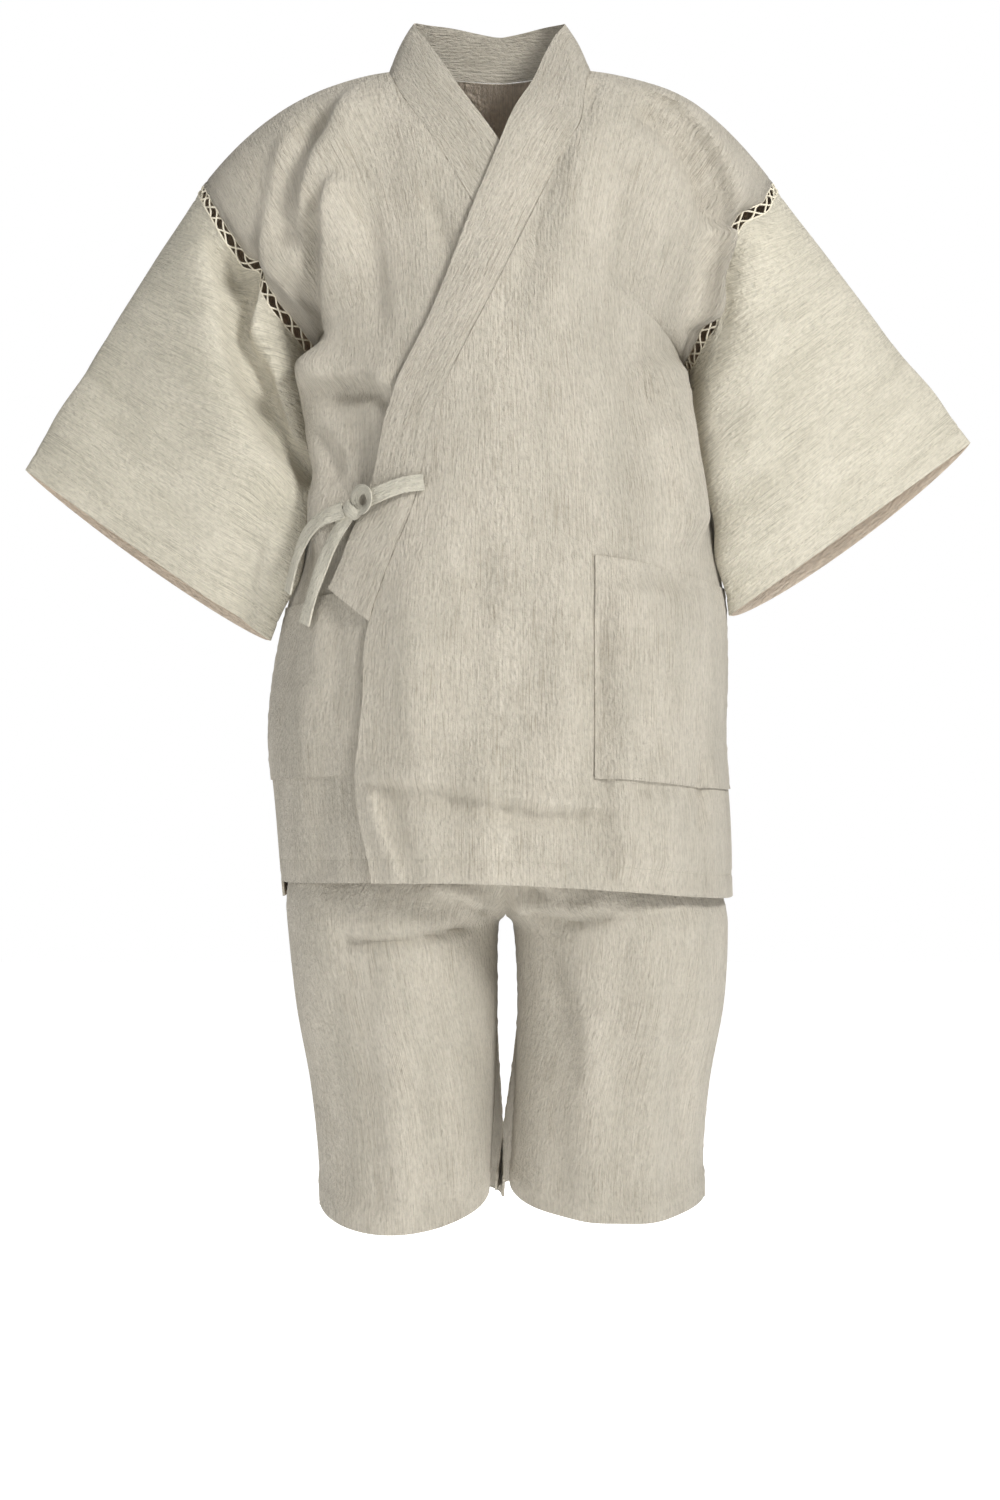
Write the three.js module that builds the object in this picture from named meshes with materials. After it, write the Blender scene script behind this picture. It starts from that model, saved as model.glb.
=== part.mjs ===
// Jinbei set: a short wrapped jacket with wide sleeves laced on by open cord-work,
// and knee-length shorts, in the hollow shape that they hold when worn.
//
// Millimetres, +Z up, the front faces -Y, +X is the wearer's left.
// The origin is the neck base, midway between the two points where collar meets shoulder.
import * as THREE from 'three';

// ---- cloth ----
const WALL = 1.5;          // thickness of a cloth wall
const SEAM = 0.3;          // gap between two pieces that are sewn edge to edge
const LAP = 9;             // how far the covered front lies inside the covering one
const PATCH = 3.6;         // how far a patch pocket lies off its panel
const EDGE_GAP = 1.8;      // between two walls that meet edge to edge at an angle
const FULLNESS = 2.3;      // superellipse power of the worn jacket's rings

// ---- jacket ----
const CENTRE = 10;         // x of the jacket's centre
const LENGTH = 803;        // shoulder fold to hem, down the centre
const ARMHOLE = 240;       // shoulder fold to underarm, along the cloth
const ARMHOLE_DEPTH = 62;  // how far the armhole opens to the front and to the back
const NECK_DROP = 62;      // neck hole depth down the back
const VENTS = { left: 660, right: 590 };   // cloth length at which each side vent opens
const VENT_OPEN = 4;       // half width of a vent at the hem

// Down the centre of the jacket: cloth length v, the two profiles, and the side seams.
const BODY = [
  { v: 0,   frontY: 0,    frontZ: 0,    backY: 0,   backZ: 0,    sideZ: -107, fall: 3.3 },
  { v: 25,  frontY: -24,  frontZ: -4,   backY: 26,  backZ: 2,    sideZ: -112, fall: 3.2 },
  { v: 60,  frontY: -55,  frontZ: -21,  backY: 59,  backZ: 0,    sideZ: -131, fall: 3.0 },
  { v: 120, frontY: -95,  frontZ: -65,  backY: 93,  backZ: -46,  sideZ: -188, fall: 2.6 },
  { v: 180, frontY: -118, frontZ: -120, backY: 112, backZ: -102, sideZ: -245, fall: 2.3 },
  { v: 240, frontY: -131, frontZ: -178, backY: 122, backZ: -161, sideZ: -268, fall: 2.0 },
  { v: 300, frontY: -138, frontZ: -238, backY: 126, backZ: -221, sideZ: -312, fall: 2.0 },
  { v: 420, frontY: -145, frontZ: -358, backY: 128, backZ: -345, sideZ: -406, fall: 2.0 },
  { v: 540, frontY: -148, frontZ: -478, backY: 130, backZ: -470, sideZ: -507, fall: 2.0 },
  { v: 660, frontY: -151, frontZ: -598, backY: 131, backZ: -597, sideZ: -617, fall: 2.0 },
  { v: 803, frontY: -153, frontZ: -741, backY: 133, backZ: -747, sideZ: -755, fall: 2.0 },
];

// Side seams below the underarm.
const SIDES = [
  { v: 240, right: -169, left: 179 },
  { v: 300, right: -168, left: 181 },
  { v: 360, right: -166, left: 196 },
  { v: 420, right: -166, left: 207 },
  { v: 480, right: -176, left: 214 },
  { v: 540, right: -188, left: 218 },
  { v: 600, right: -198, left: 219 },
  { v: 660, right: -202, left: 218 },
  { v: 730, right: -197, left: 224 },
  { v: 803, right: -191, left: 227 },
];

// Armholes and sleeves, as sections from the armhole to the cuff.
const ARMHOLES = {
  right: { topX: -262, topZ: -107, underX: -170, underZ: -268 },
  left: { topX: 262, topZ: -105, underX: 180, underZ: -272 },
};
// A sleeve from armhole to cuff: the line along its top, the line along its underside, and
// how far its front and back layers swell from the plane between them.
const SLEEVE_TOP = {
  right: [
    { t: 0, x: -269, z: -119 },
    { t: 0.25, x: -309, z: -179 },
    { t: 0.5, x: -349, z: -241 },
    { t: 0.75, x: -389, z: -304 },
    { t: 1, x: -429, z: -368 },
  ],
  left: [
    { t: 0, x: 269, z: -117 },
    { t: 0.25, x: 313, z: -173 },
    { t: 0.5, x: 357, z: -230 },
    { t: 0.75, x: 402, z: -286 },
    { t: 1, x: 447, z: -343 },
  ],
};
const SLEEVE_UNDER = {
  right: [
    { t: 0, x: -178, y: 0, z: -281 },
    { t: 0.25, x: -172, y: -40, z: -333 },
    { t: 0.5, x: -165, y: -58, z: -395 },
    { t: 0.75, x: -180, y: -47, z: -464 },
    { t: 1, x: -200, y: -30, z: -526 },
  ],
  left: [
    { t: 0, x: 189, y: 0, z: -285 },
    { t: 0.25, x: 191, y: -38, z: -342 },
    { t: 0.5, x: 204, y: -58, z: -396 },
    { t: 0.75, x: 213, y: -48, z: -450 },
    { t: 1, x: 224, y: -31, z: -503 },
  ],
};
const SLEEVE_SWELL = [
  { t: 0, front: 62, back: 62, point: 1, dropRight: 0, dropLeft: 0 },
  { t: 0.25, front: 54, back: 66, point: 1, dropRight: 3, dropLeft: 4 },
  { t: 0.5, front: 42, back: 66, point: 1.1, dropRight: 6, dropLeft: 9 },
  { t: 0.75, front: 38, back: 58, point: 1.2, dropRight: 10, dropLeft: 15 },
  { t: 1, front: 28, back: 48, point: 1.3, dropRight: 14, dropLeft: 20 },
];

// Front edges of the two panels: where the collar is sewn on, and the free edge below it.
const EDGES = {
  left: [
    { z: 0, x: 94 }, { z: -30, x: 88 }, { z: -62, x: 84 }, { z: -91, x: 68 },
    { z: -205, x: 12 }, { z: -318, x: -44 }, { z: -403, x: -64 }, { z: -516, x: -107 },
    { z: -580, x: -111 }, { z: -658, x: -117 }, { z: -741, x: -103 },
  ],
  right: [
    { z: 0, x: -92 }, { z: -33, x: -79 }, { z: -69, x: -55 }, { z: -107, x: -31 },
    { z: -205, x: 22 }, { z: -318, x: 70 }, { z: -403, x: 92 }, { z: -516, x: 118 },
    { z: -580, x: 122 }, { z: -658, x: 122 }, { z: -741, x: 118 },
  ],
};

// Collar: from the panel's edge at the cloth length v to a free edge, which lies at another
// place of the jacket's form or stands that much above it.
const COLLARS = {
  left: [
    { v: -63, freeV: -66, freeX: 10,   stand: 45 },
    { v: -53, freeV: -58, freeX: 38,   stand: 45 },
    { v: -40, freeV: -46, freeX: 56,   stand: 45 },
    { v: -20, freeV: -26, freeX: 69,   stand: 45 },
    { v: 0,   freeV: -8,  freeX: 71,   stand: 42 },
    { v: 30,  freeV: 14,  freeX: 62,   stand: 30 },
    { v: 65,  freeV: 34,  freeX: 52,   stand: 15 },
    { v: 100, freeV: 68,  freeX: 41,   stand: 5 },
    { v: 130, freeV: 106, freeX: 24,   stand: 2 },
    { v: 165, freeV: 150, freeX: 8,    stand: 0 },
    { v: 225, freeV: 216, freeX: -18,  stand: 0 },
    { v: 300, freeV: 290, freeX: -49,  stand: 0 },
    { v: 370, freeV: 355, freeX: -84,  stand: 0 },
    { v: 430, freeV: 420, freeX: -99,  stand: 0 },
    { v: 500, freeV: 480, freeX: -120, stand: 0 },
    { v: 563, freeV: 524, freeX: -140, stand: 0 },
  ],
  right: [
    { v: -63, freeV: -66, freeX: 10,   stand: 45 },
    { v: -53, freeV: -58, freeX: -18,  stand: 45 },
    { v: -40, freeV: -46, freeX: -38,  stand: 45 },
    { v: -20, freeV: -26, freeX: -58,  stand: 45 },
    { v: 0,   freeV: -8,  freeX: -69,  stand: 44 },
    { v: 30,  freeV: 14,  freeX: -60,  stand: 30 },
    { v: 65,  freeV: 40,  freeX: -46,  stand: 15 },
    { v: 100, freeV: 74,  freeX: -26,  stand: 4 },
    { v: 140, freeV: 122, freeX: 2,    stand: 0 },
    { v: 190, freeV: 172, freeX: 28,   stand: 0 },
    { v: 270, freeV: 255, freeX: 66,   stand: 0 },
    { v: 350, freeV: 335, freeX: 98,   stand: 0 },
    { v: 440, freeV: 425, freeX: 132,  stand: 0 },
    { v: 540, freeV: 510, freeX: 158,  stand: 0 },
  ],
};

// Largest folds, as ridges in the front view: ends, half width and height off the cloth.
const FOLDS = {
  front: [
    { fromX: -196, fromZ: -70,  toX: -214, toZ: -250, half: 15, height: 9 },
    { fromX: -138, fromZ: -40,  toX: -166, toZ: -170, half: 16, height: 7 },
    { fromX: -178, fromZ: -80,  toX: -182, toZ: -190, half: 12, height: -7 },
    { fromX: 178,  fromZ: -60,  toX: 214,  toZ: -200, half: 16, height: 10 },
    { fromX: 188,  fromZ: -240, toX: 168,  toZ: -310, half: 14, height: 6 },
    { fromX: 116,  fromZ: -560, toX: 116,  toZ: -738, half: 10, height: 3 },
    { fromX: -60,  fromZ: -700, toX: 110,  toZ: -690, half: 12, height: -2 },
  ],
  back: [
    { fromX: -150, fromZ: -60,  toX: -185, toZ: -230, half: 20, height: 8 },
    { fromX: 165,  fromZ: -60,  toX: 198,  toZ: -230, half: 20, height: 8 },
    { fromX: -40,  fromZ: -420, toX: -70,  toZ: -735, half: 24, height: 5 },
    { fromX: 95,   fromZ: -380, toX: 120,  toZ: -735, half: 24, height: 5 },
  ],
};

const FOLD_RUN = 0.3;      // share of a fold's length over which it rises or dies out
const FOLD_EDGE = 0.12;    // share of the width beside a side seam that folds leave flat
const FOLD_FROM = 60;      // cloth length below the shoulder fold where folds have full height
const LAP_FROM = 60;       // cloth length at which the covered front starts to go inside
const LAP_RUN = 90;        // cloth length over which it does so
const LAP_SIDE = 0.45;     // share of the width over which it does so beside its side seam

// ---- patch pockets, as stretches of cloth length and of the panel's width ----
const POCKETS = {
  left: { topV: 508, bottomV: 706, innerX: 94, outer: 0.93 },
  right: { topV: 528, bottomV: 702, innerX: -60, outer: 0.95 },
};

// ---- ties: routes over the jacket, x and z in the front view, and height off its form ----
const TIE_WIDTH = 15;
const TIE_WALL = 2;
const KNOT = { x: -105, z: -405, lift: 13, width: 26, depth: 15, height: 22 };
const TIES = {
  tie_front: [
    { x: -55, z: -388, lift: 4.5 }, { x: -66, z: -390, lift: 6 },
    { x: -78, z: -393, lift: 9 }, { x: -90, z: -398, lift: 12 },
  ],
  tie_side: [
    { x: -156, z: -422, lift: 4 }, { x: -147, z: -419, lift: 6 },
    { x: -137, z: -415, lift: 8 }, { x: -124, z: -410, lift: 10 },
  ],
  tail_short: [
    { x: -121, z: -419, lift: 17 }, { x: -138, z: -427, lift: 20 },
    { x: -155, z: -450, lift: 17 }, { x: -168, z: -486, lift: 14 },
  ],
  tail_long: [
    { x: -114, z: -424, lift: 10 }, { x: -128, z: -448, lift: 9 },
    { x: -143, z: -480, lift: 8 }, { x: -156, z: -513, lift: 7 },
  ],
};

// ---- shorts ----
const WAIST_BAND = 35;       // height of the waistband casing
const WAIST_GAP = 1;         // between the waistband and the panels below it
const SHORTS_FULLNESS = 2.2; // superellipse power of a leg's section
const INSEAM_GAP = 0.45;     // from each side to the middle plane between the two legs' panels

// Rows from waist to hem: outer and inner heights, side and inseam places, depths,
// and the angle round the leg at which the row starts (90 at a centre seam, 0 at the inseam).
const SHORTS = {
  right: [
    { v: 0,   outZ: -500,  inZ: -500,  outX: -140, inX: 16, front: 104, back: 98,  start: 90 },
    { v: 100, outZ: -600,  inZ: -600,  outX: -160, inX: 16, front: 114, back: 110, start: 90 },
    { v: 180, outZ: -680,  inZ: -680,  outX: -174, inX: 16, front: 117, back: 116, start: 90 },
    { v: 225, outZ: -722,  inZ: -730,  outX: -181, inX: 16, front: 117, back: 116, start: 68 },
    { v: 258, outZ: -748,  inZ: -762,  outX: -185, inX: 16, front: 116, back: 115, start: 40 },
    { v: 280, outZ: -768,  inZ: -776,  outX: -187, inX: 14.5, front: 115, back: 113, start: 18 },
    { v: 300, outZ: -788,  inZ: -790,  outX: -186, inX: 9,  front: 113, back: 111, start: 0 },
    { v: 370, outZ: -860,  inZ: -860,  outX: -178, inX: 8,  front: 106, back: 104, start: 0 },
    { v: 450, outZ: -935,  inZ: -935,  outX: -165, inX: 6,  front: 98,  back: 97,  start: 0 },
    { v: 520, outZ: -1005, inZ: -1000, outX: -158, inX: 3,  front: 93,  back: 92,  start: 0 },
    { v: 570, outZ: -1054, inZ: -1046, outX: -156, inX: 0,  front: 91,  back: 90,  start: 0 },
  ],
  left: [
    { v: 0,   outZ: -500,  inZ: -500,  outX: 172, inX: 16, front: 104, back: 98,  start: 90 },
    { v: 100, outZ: -600,  inZ: -600,  outX: 190, inX: 16, front: 114, back: 110, start: 90 },
    { v: 180, outZ: -680,  inZ: -680,  outX: 205, inX: 16, front: 117, back: 116, start: 90 },
    { v: 225, outZ: -722,  inZ: -730,  outX: 211, inX: 16, front: 117, back: 116, start: 68 },
    { v: 258, outZ: -748,  inZ: -762,  outX: 214, inX: 16, front: 116, back: 115, start: 40 },
    { v: 280, outZ: -768,  inZ: -776,  outX: 219, inX: 18, front: 115, back: 113, start: 18 },
    { v: 300, outZ: -788,  inZ: -790,  outX: 222, inX: 24, front: 113, back: 111, start: 0 },
    { v: 370, outZ: -860,  inZ: -860,  outX: 219, inX: 28, front: 106, back: 104, start: 0 },
    { v: 450, outZ: -935,  inZ: -935,  outX: 206, inX: 26, front: 98,  back: 97,  start: 0 },
    { v: 520, outZ: -1005, inZ: -1000, outX: 200, inX: 23, front: 93,  back: 92,  start: 0 },
    { v: 565, outZ: -1046, inZ: -1040, outX: 201, inX: 21, front: 91,  back: 90,  start: 0 },
  ],
};

// The four quarters of the waistband in order round the waist, each above one panel.
const WAIST_QUARTERS = [
  { side: 'left', face: 'front', outward: false },
  { side: 'right', face: 'front', outward: true },
  { side: 'right', face: 'back', outward: false },
  { side: 'left', face: 'back', outward: true },
];

// ---- mesh steps ----
// Rows of a body panel, as cloth lengths from its front hem over the shoulder to its back hem.
const BODY_ROWS = [
  803, 735, 665, 605, 563, 540, 480, 420, 360, 300, 270, 240.5, 210, 180, 150, 120, 90, 60, 40, 20,
  0, -20, -40, -53, -60, -62.5, -90, -120, -150, -180, -210, -240.5, -275, -320, -400,
  -480, -560, -640, -720, -803,
];
const BODY_COLUMNS = 11;
const SLEEVE_ROWS = 7;
const SLEEVE_COLUMNS = 24;
const COLLAR_COLUMNS = 2;
const POCKET_STEPS = 8;
const TIE_STEPS = 8;
const SHORTS_COLUMNS = 10;
const WAIST_STEPS = 7;     // in each quarter of the waistband
const KNOT_STEPS = 12;
const NUDGE_V = 2;         // steps for finding the form's outward direction
const NUDGE_S = 0.01;
const NUDGE_TIE = 0.1;     // step along a tie for finding its direction
const HALVINGS = 30;       // rounds of the search for a cloth length
const EDGE_ROUNDS = 12;    // rounds of the search for an edge's place

// ---- colours ----
const CLOTH = 0xc9c2b0;
const CORD = 0xe6dcc4;
const ROUGHNESS = 0.9;

const RIGHT_ANGLE = Math.PI / 2;
const SIDE_SIGN = { right: -1, left: 1 };

const clamp = (value, low, high) => Math.min(high, Math.max(low, value));
const mix = (from, to, share) => from + (to - from) * share;
const smooth = (share) => {
  const t = clamp(share, 0, 1);
  return t * t * (3 - 2 * t);
};
const degrees = (angle) => angle * Math.PI / 180;

// A table's column as a smooth curve through its rows.
function sample(table, key, column, at) {
  const last = table.length - 1;
  const rising = table[last][key] > table[0][key] ? 1 : -1;
  let i = 0;
  while (i < last - 1 && rising * at > rising * table[i + 1][key]) i += 1;
  const slope = (a, b) => (table[b][column] - table[a][column]) / (table[b][key] - table[a][key]);
  const span = table[i + 1][key] - table[i][key];
  const t = clamp((at - table[i][key]) / span, 0, 1);
  const slopeA = i === 0 ? slope(0, 1) : slope(i - 1, i + 1);
  const slopeB = i + 1 === last ? slope(last - 1, last) : slope(i, i + 2);
  const t2 = t * t;
  const t3 = t2 * t;
  return (2 * t3 - 3 * t2 + 1) * table[i][column] + (t3 - 2 * t2 + t) * span * slopeA
    + (3 * t2 - 2 * t3) * table[i + 1][column] + (t3 - t2) * span * slopeB;
}

// Outer end of a row of the jacket: on the armhole down to the underarm, then on the side seam.
function rowEnd(side, v) {
  const length = Math.abs(v);
  if (length <= ARMHOLE) {
    const hole = ARMHOLES[side];
    const turn = Math.PI * length / ARMHOLE;
    const share = (1 - Math.cos(turn)) / 2;
    const x = mix(hole.topX, hole.underX, share);
    const z = mix(hole.topZ, hole.underZ, share);
    return new THREE.Vector3(x, -Math.sign(v) * ARMHOLE_DEPTH * Math.sin(turn), z);
  }
  const x = sample(SIDES, 'v', side, length);
  const gap = SEAM / 2 + VENT_OPEN * smooth((length - VENTS[side]) / (LENGTH - VENTS[side]));
  const z = sample(BODY, 'v', 'sideZ', length);
  return new THREE.Vector3(x, -Math.sign(v) * gap, z);
}

// The jacket's plain form. v is the cloth length down from the shoulder fold, positive in front
// and negative behind. s runs across, from -1 at one side to 1 at the other.
function form(v, s) {
  const side = s < 0 ? 'right' : 'left';
  const end = rowEnd(side, v);
  const length = Math.abs(v);
  const face = v < 0 ? 'back' : 'front';
  const midY = sample(BODY, 'v', `${face}Y`, length);
  const midZ = sample(BODY, 'v', `${face}Z`, length);
  const fall = sample(BODY, 'v', 'fall', length);
  const angle = Math.abs(s) * RIGHT_ANGLE;
  const across = Math.sin(angle) ** (2 / FULLNESS);
  const along = Math.max(Math.cos(angle), 0) ** (2 / FULLNESS);
  return new THREE.Vector3(
    mix(CENTRE, end.x, across),
    mix(end.y, midY, along),
    mix(midZ, end.z, across ** fall),
  );
}

// The place across a row, s, at which the form has the given x.
function acrossAt(v, x) {
  const side = x < CENTRE ? 'right' : 'left';
  const share = clamp(Math.abs(x - CENTRE) / Math.abs(rowEnd(side, v).x - CENTRE), 0, 1);
  return SIDE_SIGN[side] * Math.asin(share ** (FULLNESS / 2)) / RIGHT_ANGLE;
}

// The cloth length at which the front's form passes a place in the front view.
function lengthAt(x, z) {
  let low = 0;
  let high = LENGTH;
  for (let step = 0; step < HALVINGS; step += 1) {
    const middle = (low + high) / 2;
    const above = form(middle, acrossAt(middle, x)).z > z;
    low = above ? middle : low;
    high = above ? high : middle;
  }
  return (low + high) / 2;
}

function outward(surface, v, s, nudgeV, nudgeS) {
  const alongV = surface(v + nudgeV, s).sub(surface(v - nudgeV, s));
  const alongS = surface(v, s + nudgeS).sub(surface(v, s - nudgeS));
  return alongV.cross(alongS).normalize();
}

// Height of the folds at a place in the front or back view.
function foldHeight(face, point) {
  let height = 0;
  for (const fold of FOLDS[face]) {
    const alongX = fold.toX - fold.fromX;
    const alongZ = fold.toZ - fold.fromZ;
    const length = Math.hypot(alongX, alongZ);
    const offX = point.x - fold.fromX;
    const offZ = point.z - fold.fromZ;
    const share = (offX * alongX + offZ * alongZ) / (length * length);
    const off = (offX * alongZ - offZ * alongX) / length;
    const run = smooth(share / FOLD_RUN) * smooth((1 - share) / FOLD_RUN);
    height += fold.height * run * Math.exp(-((off / fold.half) ** 2));
  }
  return height;
}

// The jacket's cloth: the plain form with its folds, moved out by lift.
function cloth(v, s, lift) {
  const point = form(v, s);
  const inside = clamp(s, -1 + NUDGE_S, 1 - NUDGE_S);
  const normal = outward(form, v, inside, NUDGE_V, NUDGE_S);
  const calm = smooth((1 - Math.abs(s)) / FOLD_EDGE) * smooth(Math.abs(v) / FOLD_FROM);
  const height = foldHeight(v < 0 ? 'back' : 'front', point) * calm;
  return point.addScaledVector(normal, height + lift);
}

// A closed thin wall on a grid of points, with its faces out.
function wallOf(grid, wall, ring = false) {
  const rows = grid.length;
  const columns = grid[0].length;
  const at = (i, j) => grid[clamp(i, 0, rows - 1)][ring ? (j + columns) % columns : clamp(j, 0, columns - 1)];
  const vertices = [];
  const indices = [];
  for (const half of [wall / 2, -wall / 2]) {
    for (let i = 0; i < rows; i += 1) {
      for (let j = 0; j < columns; j += 1) {
        const down = at(i + 1, j).clone().sub(at(i - 1, j));
        const over = at(i, j + 1).clone().sub(at(i, j - 1));
        const normal = over.cross(down).normalize();
        const point = at(i, j).clone().addScaledVector(normal, half);
        vertices.push(point.x, point.y, point.z);
      }
    }
  }
  const layer = rows * columns;
  const index = (i, j, inner) => inner * layer + i * columns + (ring ? j % columns : j);
  const quad = (a, b, c, d) => indices.push(a, b, c, a, c, d);
  const steps = ring ? columns : columns - 1;
  for (let i = 0; i < rows - 1; i += 1) {
    for (let j = 0; j < steps; j += 1) {
      quad(index(i, j, 0), index(i, j + 1, 0), index(i + 1, j + 1, 0), index(i + 1, j, 0));
      quad(index(i, j, 1), index(i + 1, j, 1), index(i + 1, j + 1, 1), index(i, j + 1, 1));
    }
  }
  for (let j = 0; j < steps; j += 1) {
    quad(index(0, j, 0), index(0, j, 1), index(0, j + 1, 1), index(0, j + 1, 0));
    const end = rows - 1;
    quad(index(end, j, 0), index(end, j + 1, 0), index(end, j + 1, 1), index(end, j, 1));
  }
  if (!ring) {
    for (let i = 0; i < rows - 1; i += 1) {
      const end = columns - 1;
      quad(index(i, 0, 0), index(i + 1, 0, 0), index(i + 1, 0, 1), index(i, 0, 1));
      quad(index(i, end, 0), index(i, end, 1), index(i + 1, end, 1), index(i + 1, end, 0));
    }
  }
  return closedGeometry(vertices, indices);
}

// Turns the faces out if the enclosed volume comes out negative.
function closedGeometry(vertices, indices) {
  const corner = (k) => new THREE.Vector3().fromArray(vertices, indices[k] * 3);
  let volume = 0;
  for (let k = 0; k < indices.length; k += 3) {
    volume += corner(k).dot(corner(k + 1).cross(corner(k + 2)));
  }
  if (volume < 0) indices.reverse();
  const geometry = new THREE.BufferGeometry();
  geometry.setAttribute('position', new THREE.Float32BufferAttribute(vertices, 3));
  geometry.setIndex(indices);
  return geometry;
}

function piece(name, geometry, color) {
  const material = new THREE.MeshStandardMaterial({ color, roughness: ROUGHNESS });
  const mesh = new THREE.Mesh(geometry, material);
  mesh.name = name;
  return mesh;
}

// x of a panel's inner edge on the row v: the front edge, the neck hole or the centre-back seam.
function innerEdge(side, v) {
  const sign = SIDE_SIGN[side];
  if (v >= 0) {
    const edge = EDGES[side];
    let x = edge[0].x;
    for (let step = 0; step < EDGE_ROUNDS; step += 1) {
      const z = form(v, acrossAt(v, x)).z;
      x = sample(edge, 'z', 'x', clamp(z, edge[edge.length - 1].z, 0));
    }
    return x;
  }
  const seam = CENTRE + sign * SEAM / 2;
  if (v <= -NECK_DROP) return seam;
  const reach = EDGES[side][0].x - seam;
  return seam + reach * Math.sqrt(1 - (v / NECK_DROP) ** 2);
}

// How far the covered front is held in, nothing at its side seam and shoulder.
function underlap(side, v, s) {
  if (side === 'left' || v < 0) return 0;
  return -LAP * smooth((v - LAP_FROM) / LAP_RUN) * smooth((1 + s) / LAP_SIDE);
}

function bodyPanel(side) {
  const sign = SIDE_SIGN[side];
  const grid = BODY_ROWS.map((v) => {
    const start = acrossAt(v, innerEdge(side, v));
    const row = [];
    for (let column = 0; column <= BODY_COLUMNS; column += 1) {
      const s = mix(start, sign, column / BODY_COLUMNS);
      row.push(cloth(v, s, underlap(side, v, s)));
    }
    return row;
  });
  return wallOf(grid, WALL);
}

function collarPoint(side, v, share) {
  const column = (name) => sample(COLLARS[side], 'v', name, v);
  const edge = acrossAt(v, innerEdge(side, v));
  const held = underlap(side, v, edge);
  const seam = cloth(v, edge, held);
  const freeV = column('freeV');
  const free = cloth(freeV, acrossAt(freeV, column('freeX')), held);
  free.z += column('stand');
  const across = free.clone().sub(seam);
  seam.addScaledVector(across.normalize(), EDGE_GAP);
  return seam.lerp(free, share);
}

// One band round the neck, with its stations on the rows of the two panels.
function collar() {
  const grid = [];
  const add = (side, v) => {
    const row = [];
    for (let column = 0; column <= COLLAR_COLUMNS; column += 1) {
      row.push(collarPoint(side, v, column / COLLAR_COLUMNS));
    }
    grid.push(row);
  };
  const rowsOf = (side) => {
    const stations = COLLARS[side];
    return BODY_ROWS.filter((v) => v >= stations[0].v && v <= stations[stations.length - 1].v);
  };
  rowsOf('left').forEach((v) => add('left', v));
  rowsOf('right').reverse().slice(1).forEach((v) => add('right', v));
  return wallOf(grid, WALL);
}

// A sleeve's section at t, from the top round the front to the underarm and back.
function sleevePoint(side, t, turn) {
  const top = (name) => sample(SLEEVE_TOP[side], 't', name, t);
  const under = (name) => sample(SLEEVE_UNDER[side], 't', name, t);
  const layer = (name) => sample(SLEEVE_SWELL, 't', name, t);
  const share = (1 - Math.cos(turn)) / 2;
  const front = Math.sin(turn) > 0;
  const depth = front ? -layer('front') : layer('back');
  const swell = Math.abs(Math.sin(turn)) ** layer('point');
  const drop = front ? 0 : layer(side === 'right' ? 'dropRight' : 'dropLeft') * swell;
  const x = mix(top('x'), under('x'), share);
  const z = mix(top('z'), under('z'), share) - drop;
  return new THREE.Vector3(x, under('y') * share + depth * swell, z);
}

function sleeve(side) {
  const grid = [];
  for (let i = 0; i <= SLEEVE_ROWS; i += 1) {
    const row = [];
    for (let j = 0; j < SLEEVE_COLUMNS; j += 1) {
      row.push(sleevePoint(side, i / SLEEVE_ROWS, 2 * Math.PI * j / SLEEVE_COLUMNS));
    }
    grid.push(row);
  }
  return wallOf(grid, WALL, true);
}

// The open cord-work: a ring between the armhole's edge and the sleeve's.
function lacing(side) {
  const inner = [];
  const outer = [];
  for (let j = 0; j < SLEEVE_COLUMNS; j += 1) {
    const turn = 2 * Math.PI * j / SLEEVE_COLUMNS;
    const v = ARMHOLE * (turn <= Math.PI ? turn / Math.PI : -(2 - turn / Math.PI));
    const from = rowEnd(side, v);
    const to = sleevePoint(side, 0, turn);
    const step = to.clone().sub(from).normalize().multiplyScalar(EDGE_GAP);
    inner.push(from.add(step));
    outer.push(to.sub(step));
  }
  return wallOf([inner, outer], WALL, true);
}

function pocket(side) {
  const size = POCKETS[side];
  const grid = [];
  for (let i = 0; i <= POCKET_STEPS; i += 1) {
    const v = mix(size.topV, size.bottomV, i / POCKET_STEPS);
    const start = acrossAt(v, size.innerX);
    const row = [];
    for (let j = 0; j <= POCKET_STEPS; j += 1) {
      const s = mix(start, SIDE_SIGN[side] * size.outer, j / POCKET_STEPS);
      row.push(cloth(v, s, underlap(side, v, s) + PATCH));
    }
    grid.push(row);
  }
  return wallOf(grid, WALL);
}

// A flat tie that follows its route over the jacket.
function tie(route) {
  const rows = route.map((row, index) => ({ index, ...row }));
  const place = (at) => {
    const x = sample(rows, 'index', 'x', at);
    const v = lengthAt(x, sample(rows, 'index', 'z', at));
    const s = acrossAt(v, x);
    const normal = outward(form, v, s, NUDGE_V, NUDGE_S);
    return { point: form(v, s).addScaledVector(normal, sample(rows, 'index', 'lift', at)), normal };
  };
  const last = rows.length - 1;
  const grid = [];
  for (let step = 0; step <= TIE_STEPS; step += 1) {
    const at = last * step / TIE_STEPS;
    const { point, normal } = place(at);
    const along = place(Math.min(at + NUDGE_TIE, last)).point.sub(place(Math.max(at - NUDGE_TIE, 0)).point);
    const across = along.cross(normal).normalize().multiplyScalar(TIE_WIDTH / 2);
    grid.push([point.clone().sub(across), point.clone(), point.clone().add(across)]);
  }
  return wallOf(grid, TIE_WALL);
}

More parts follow.
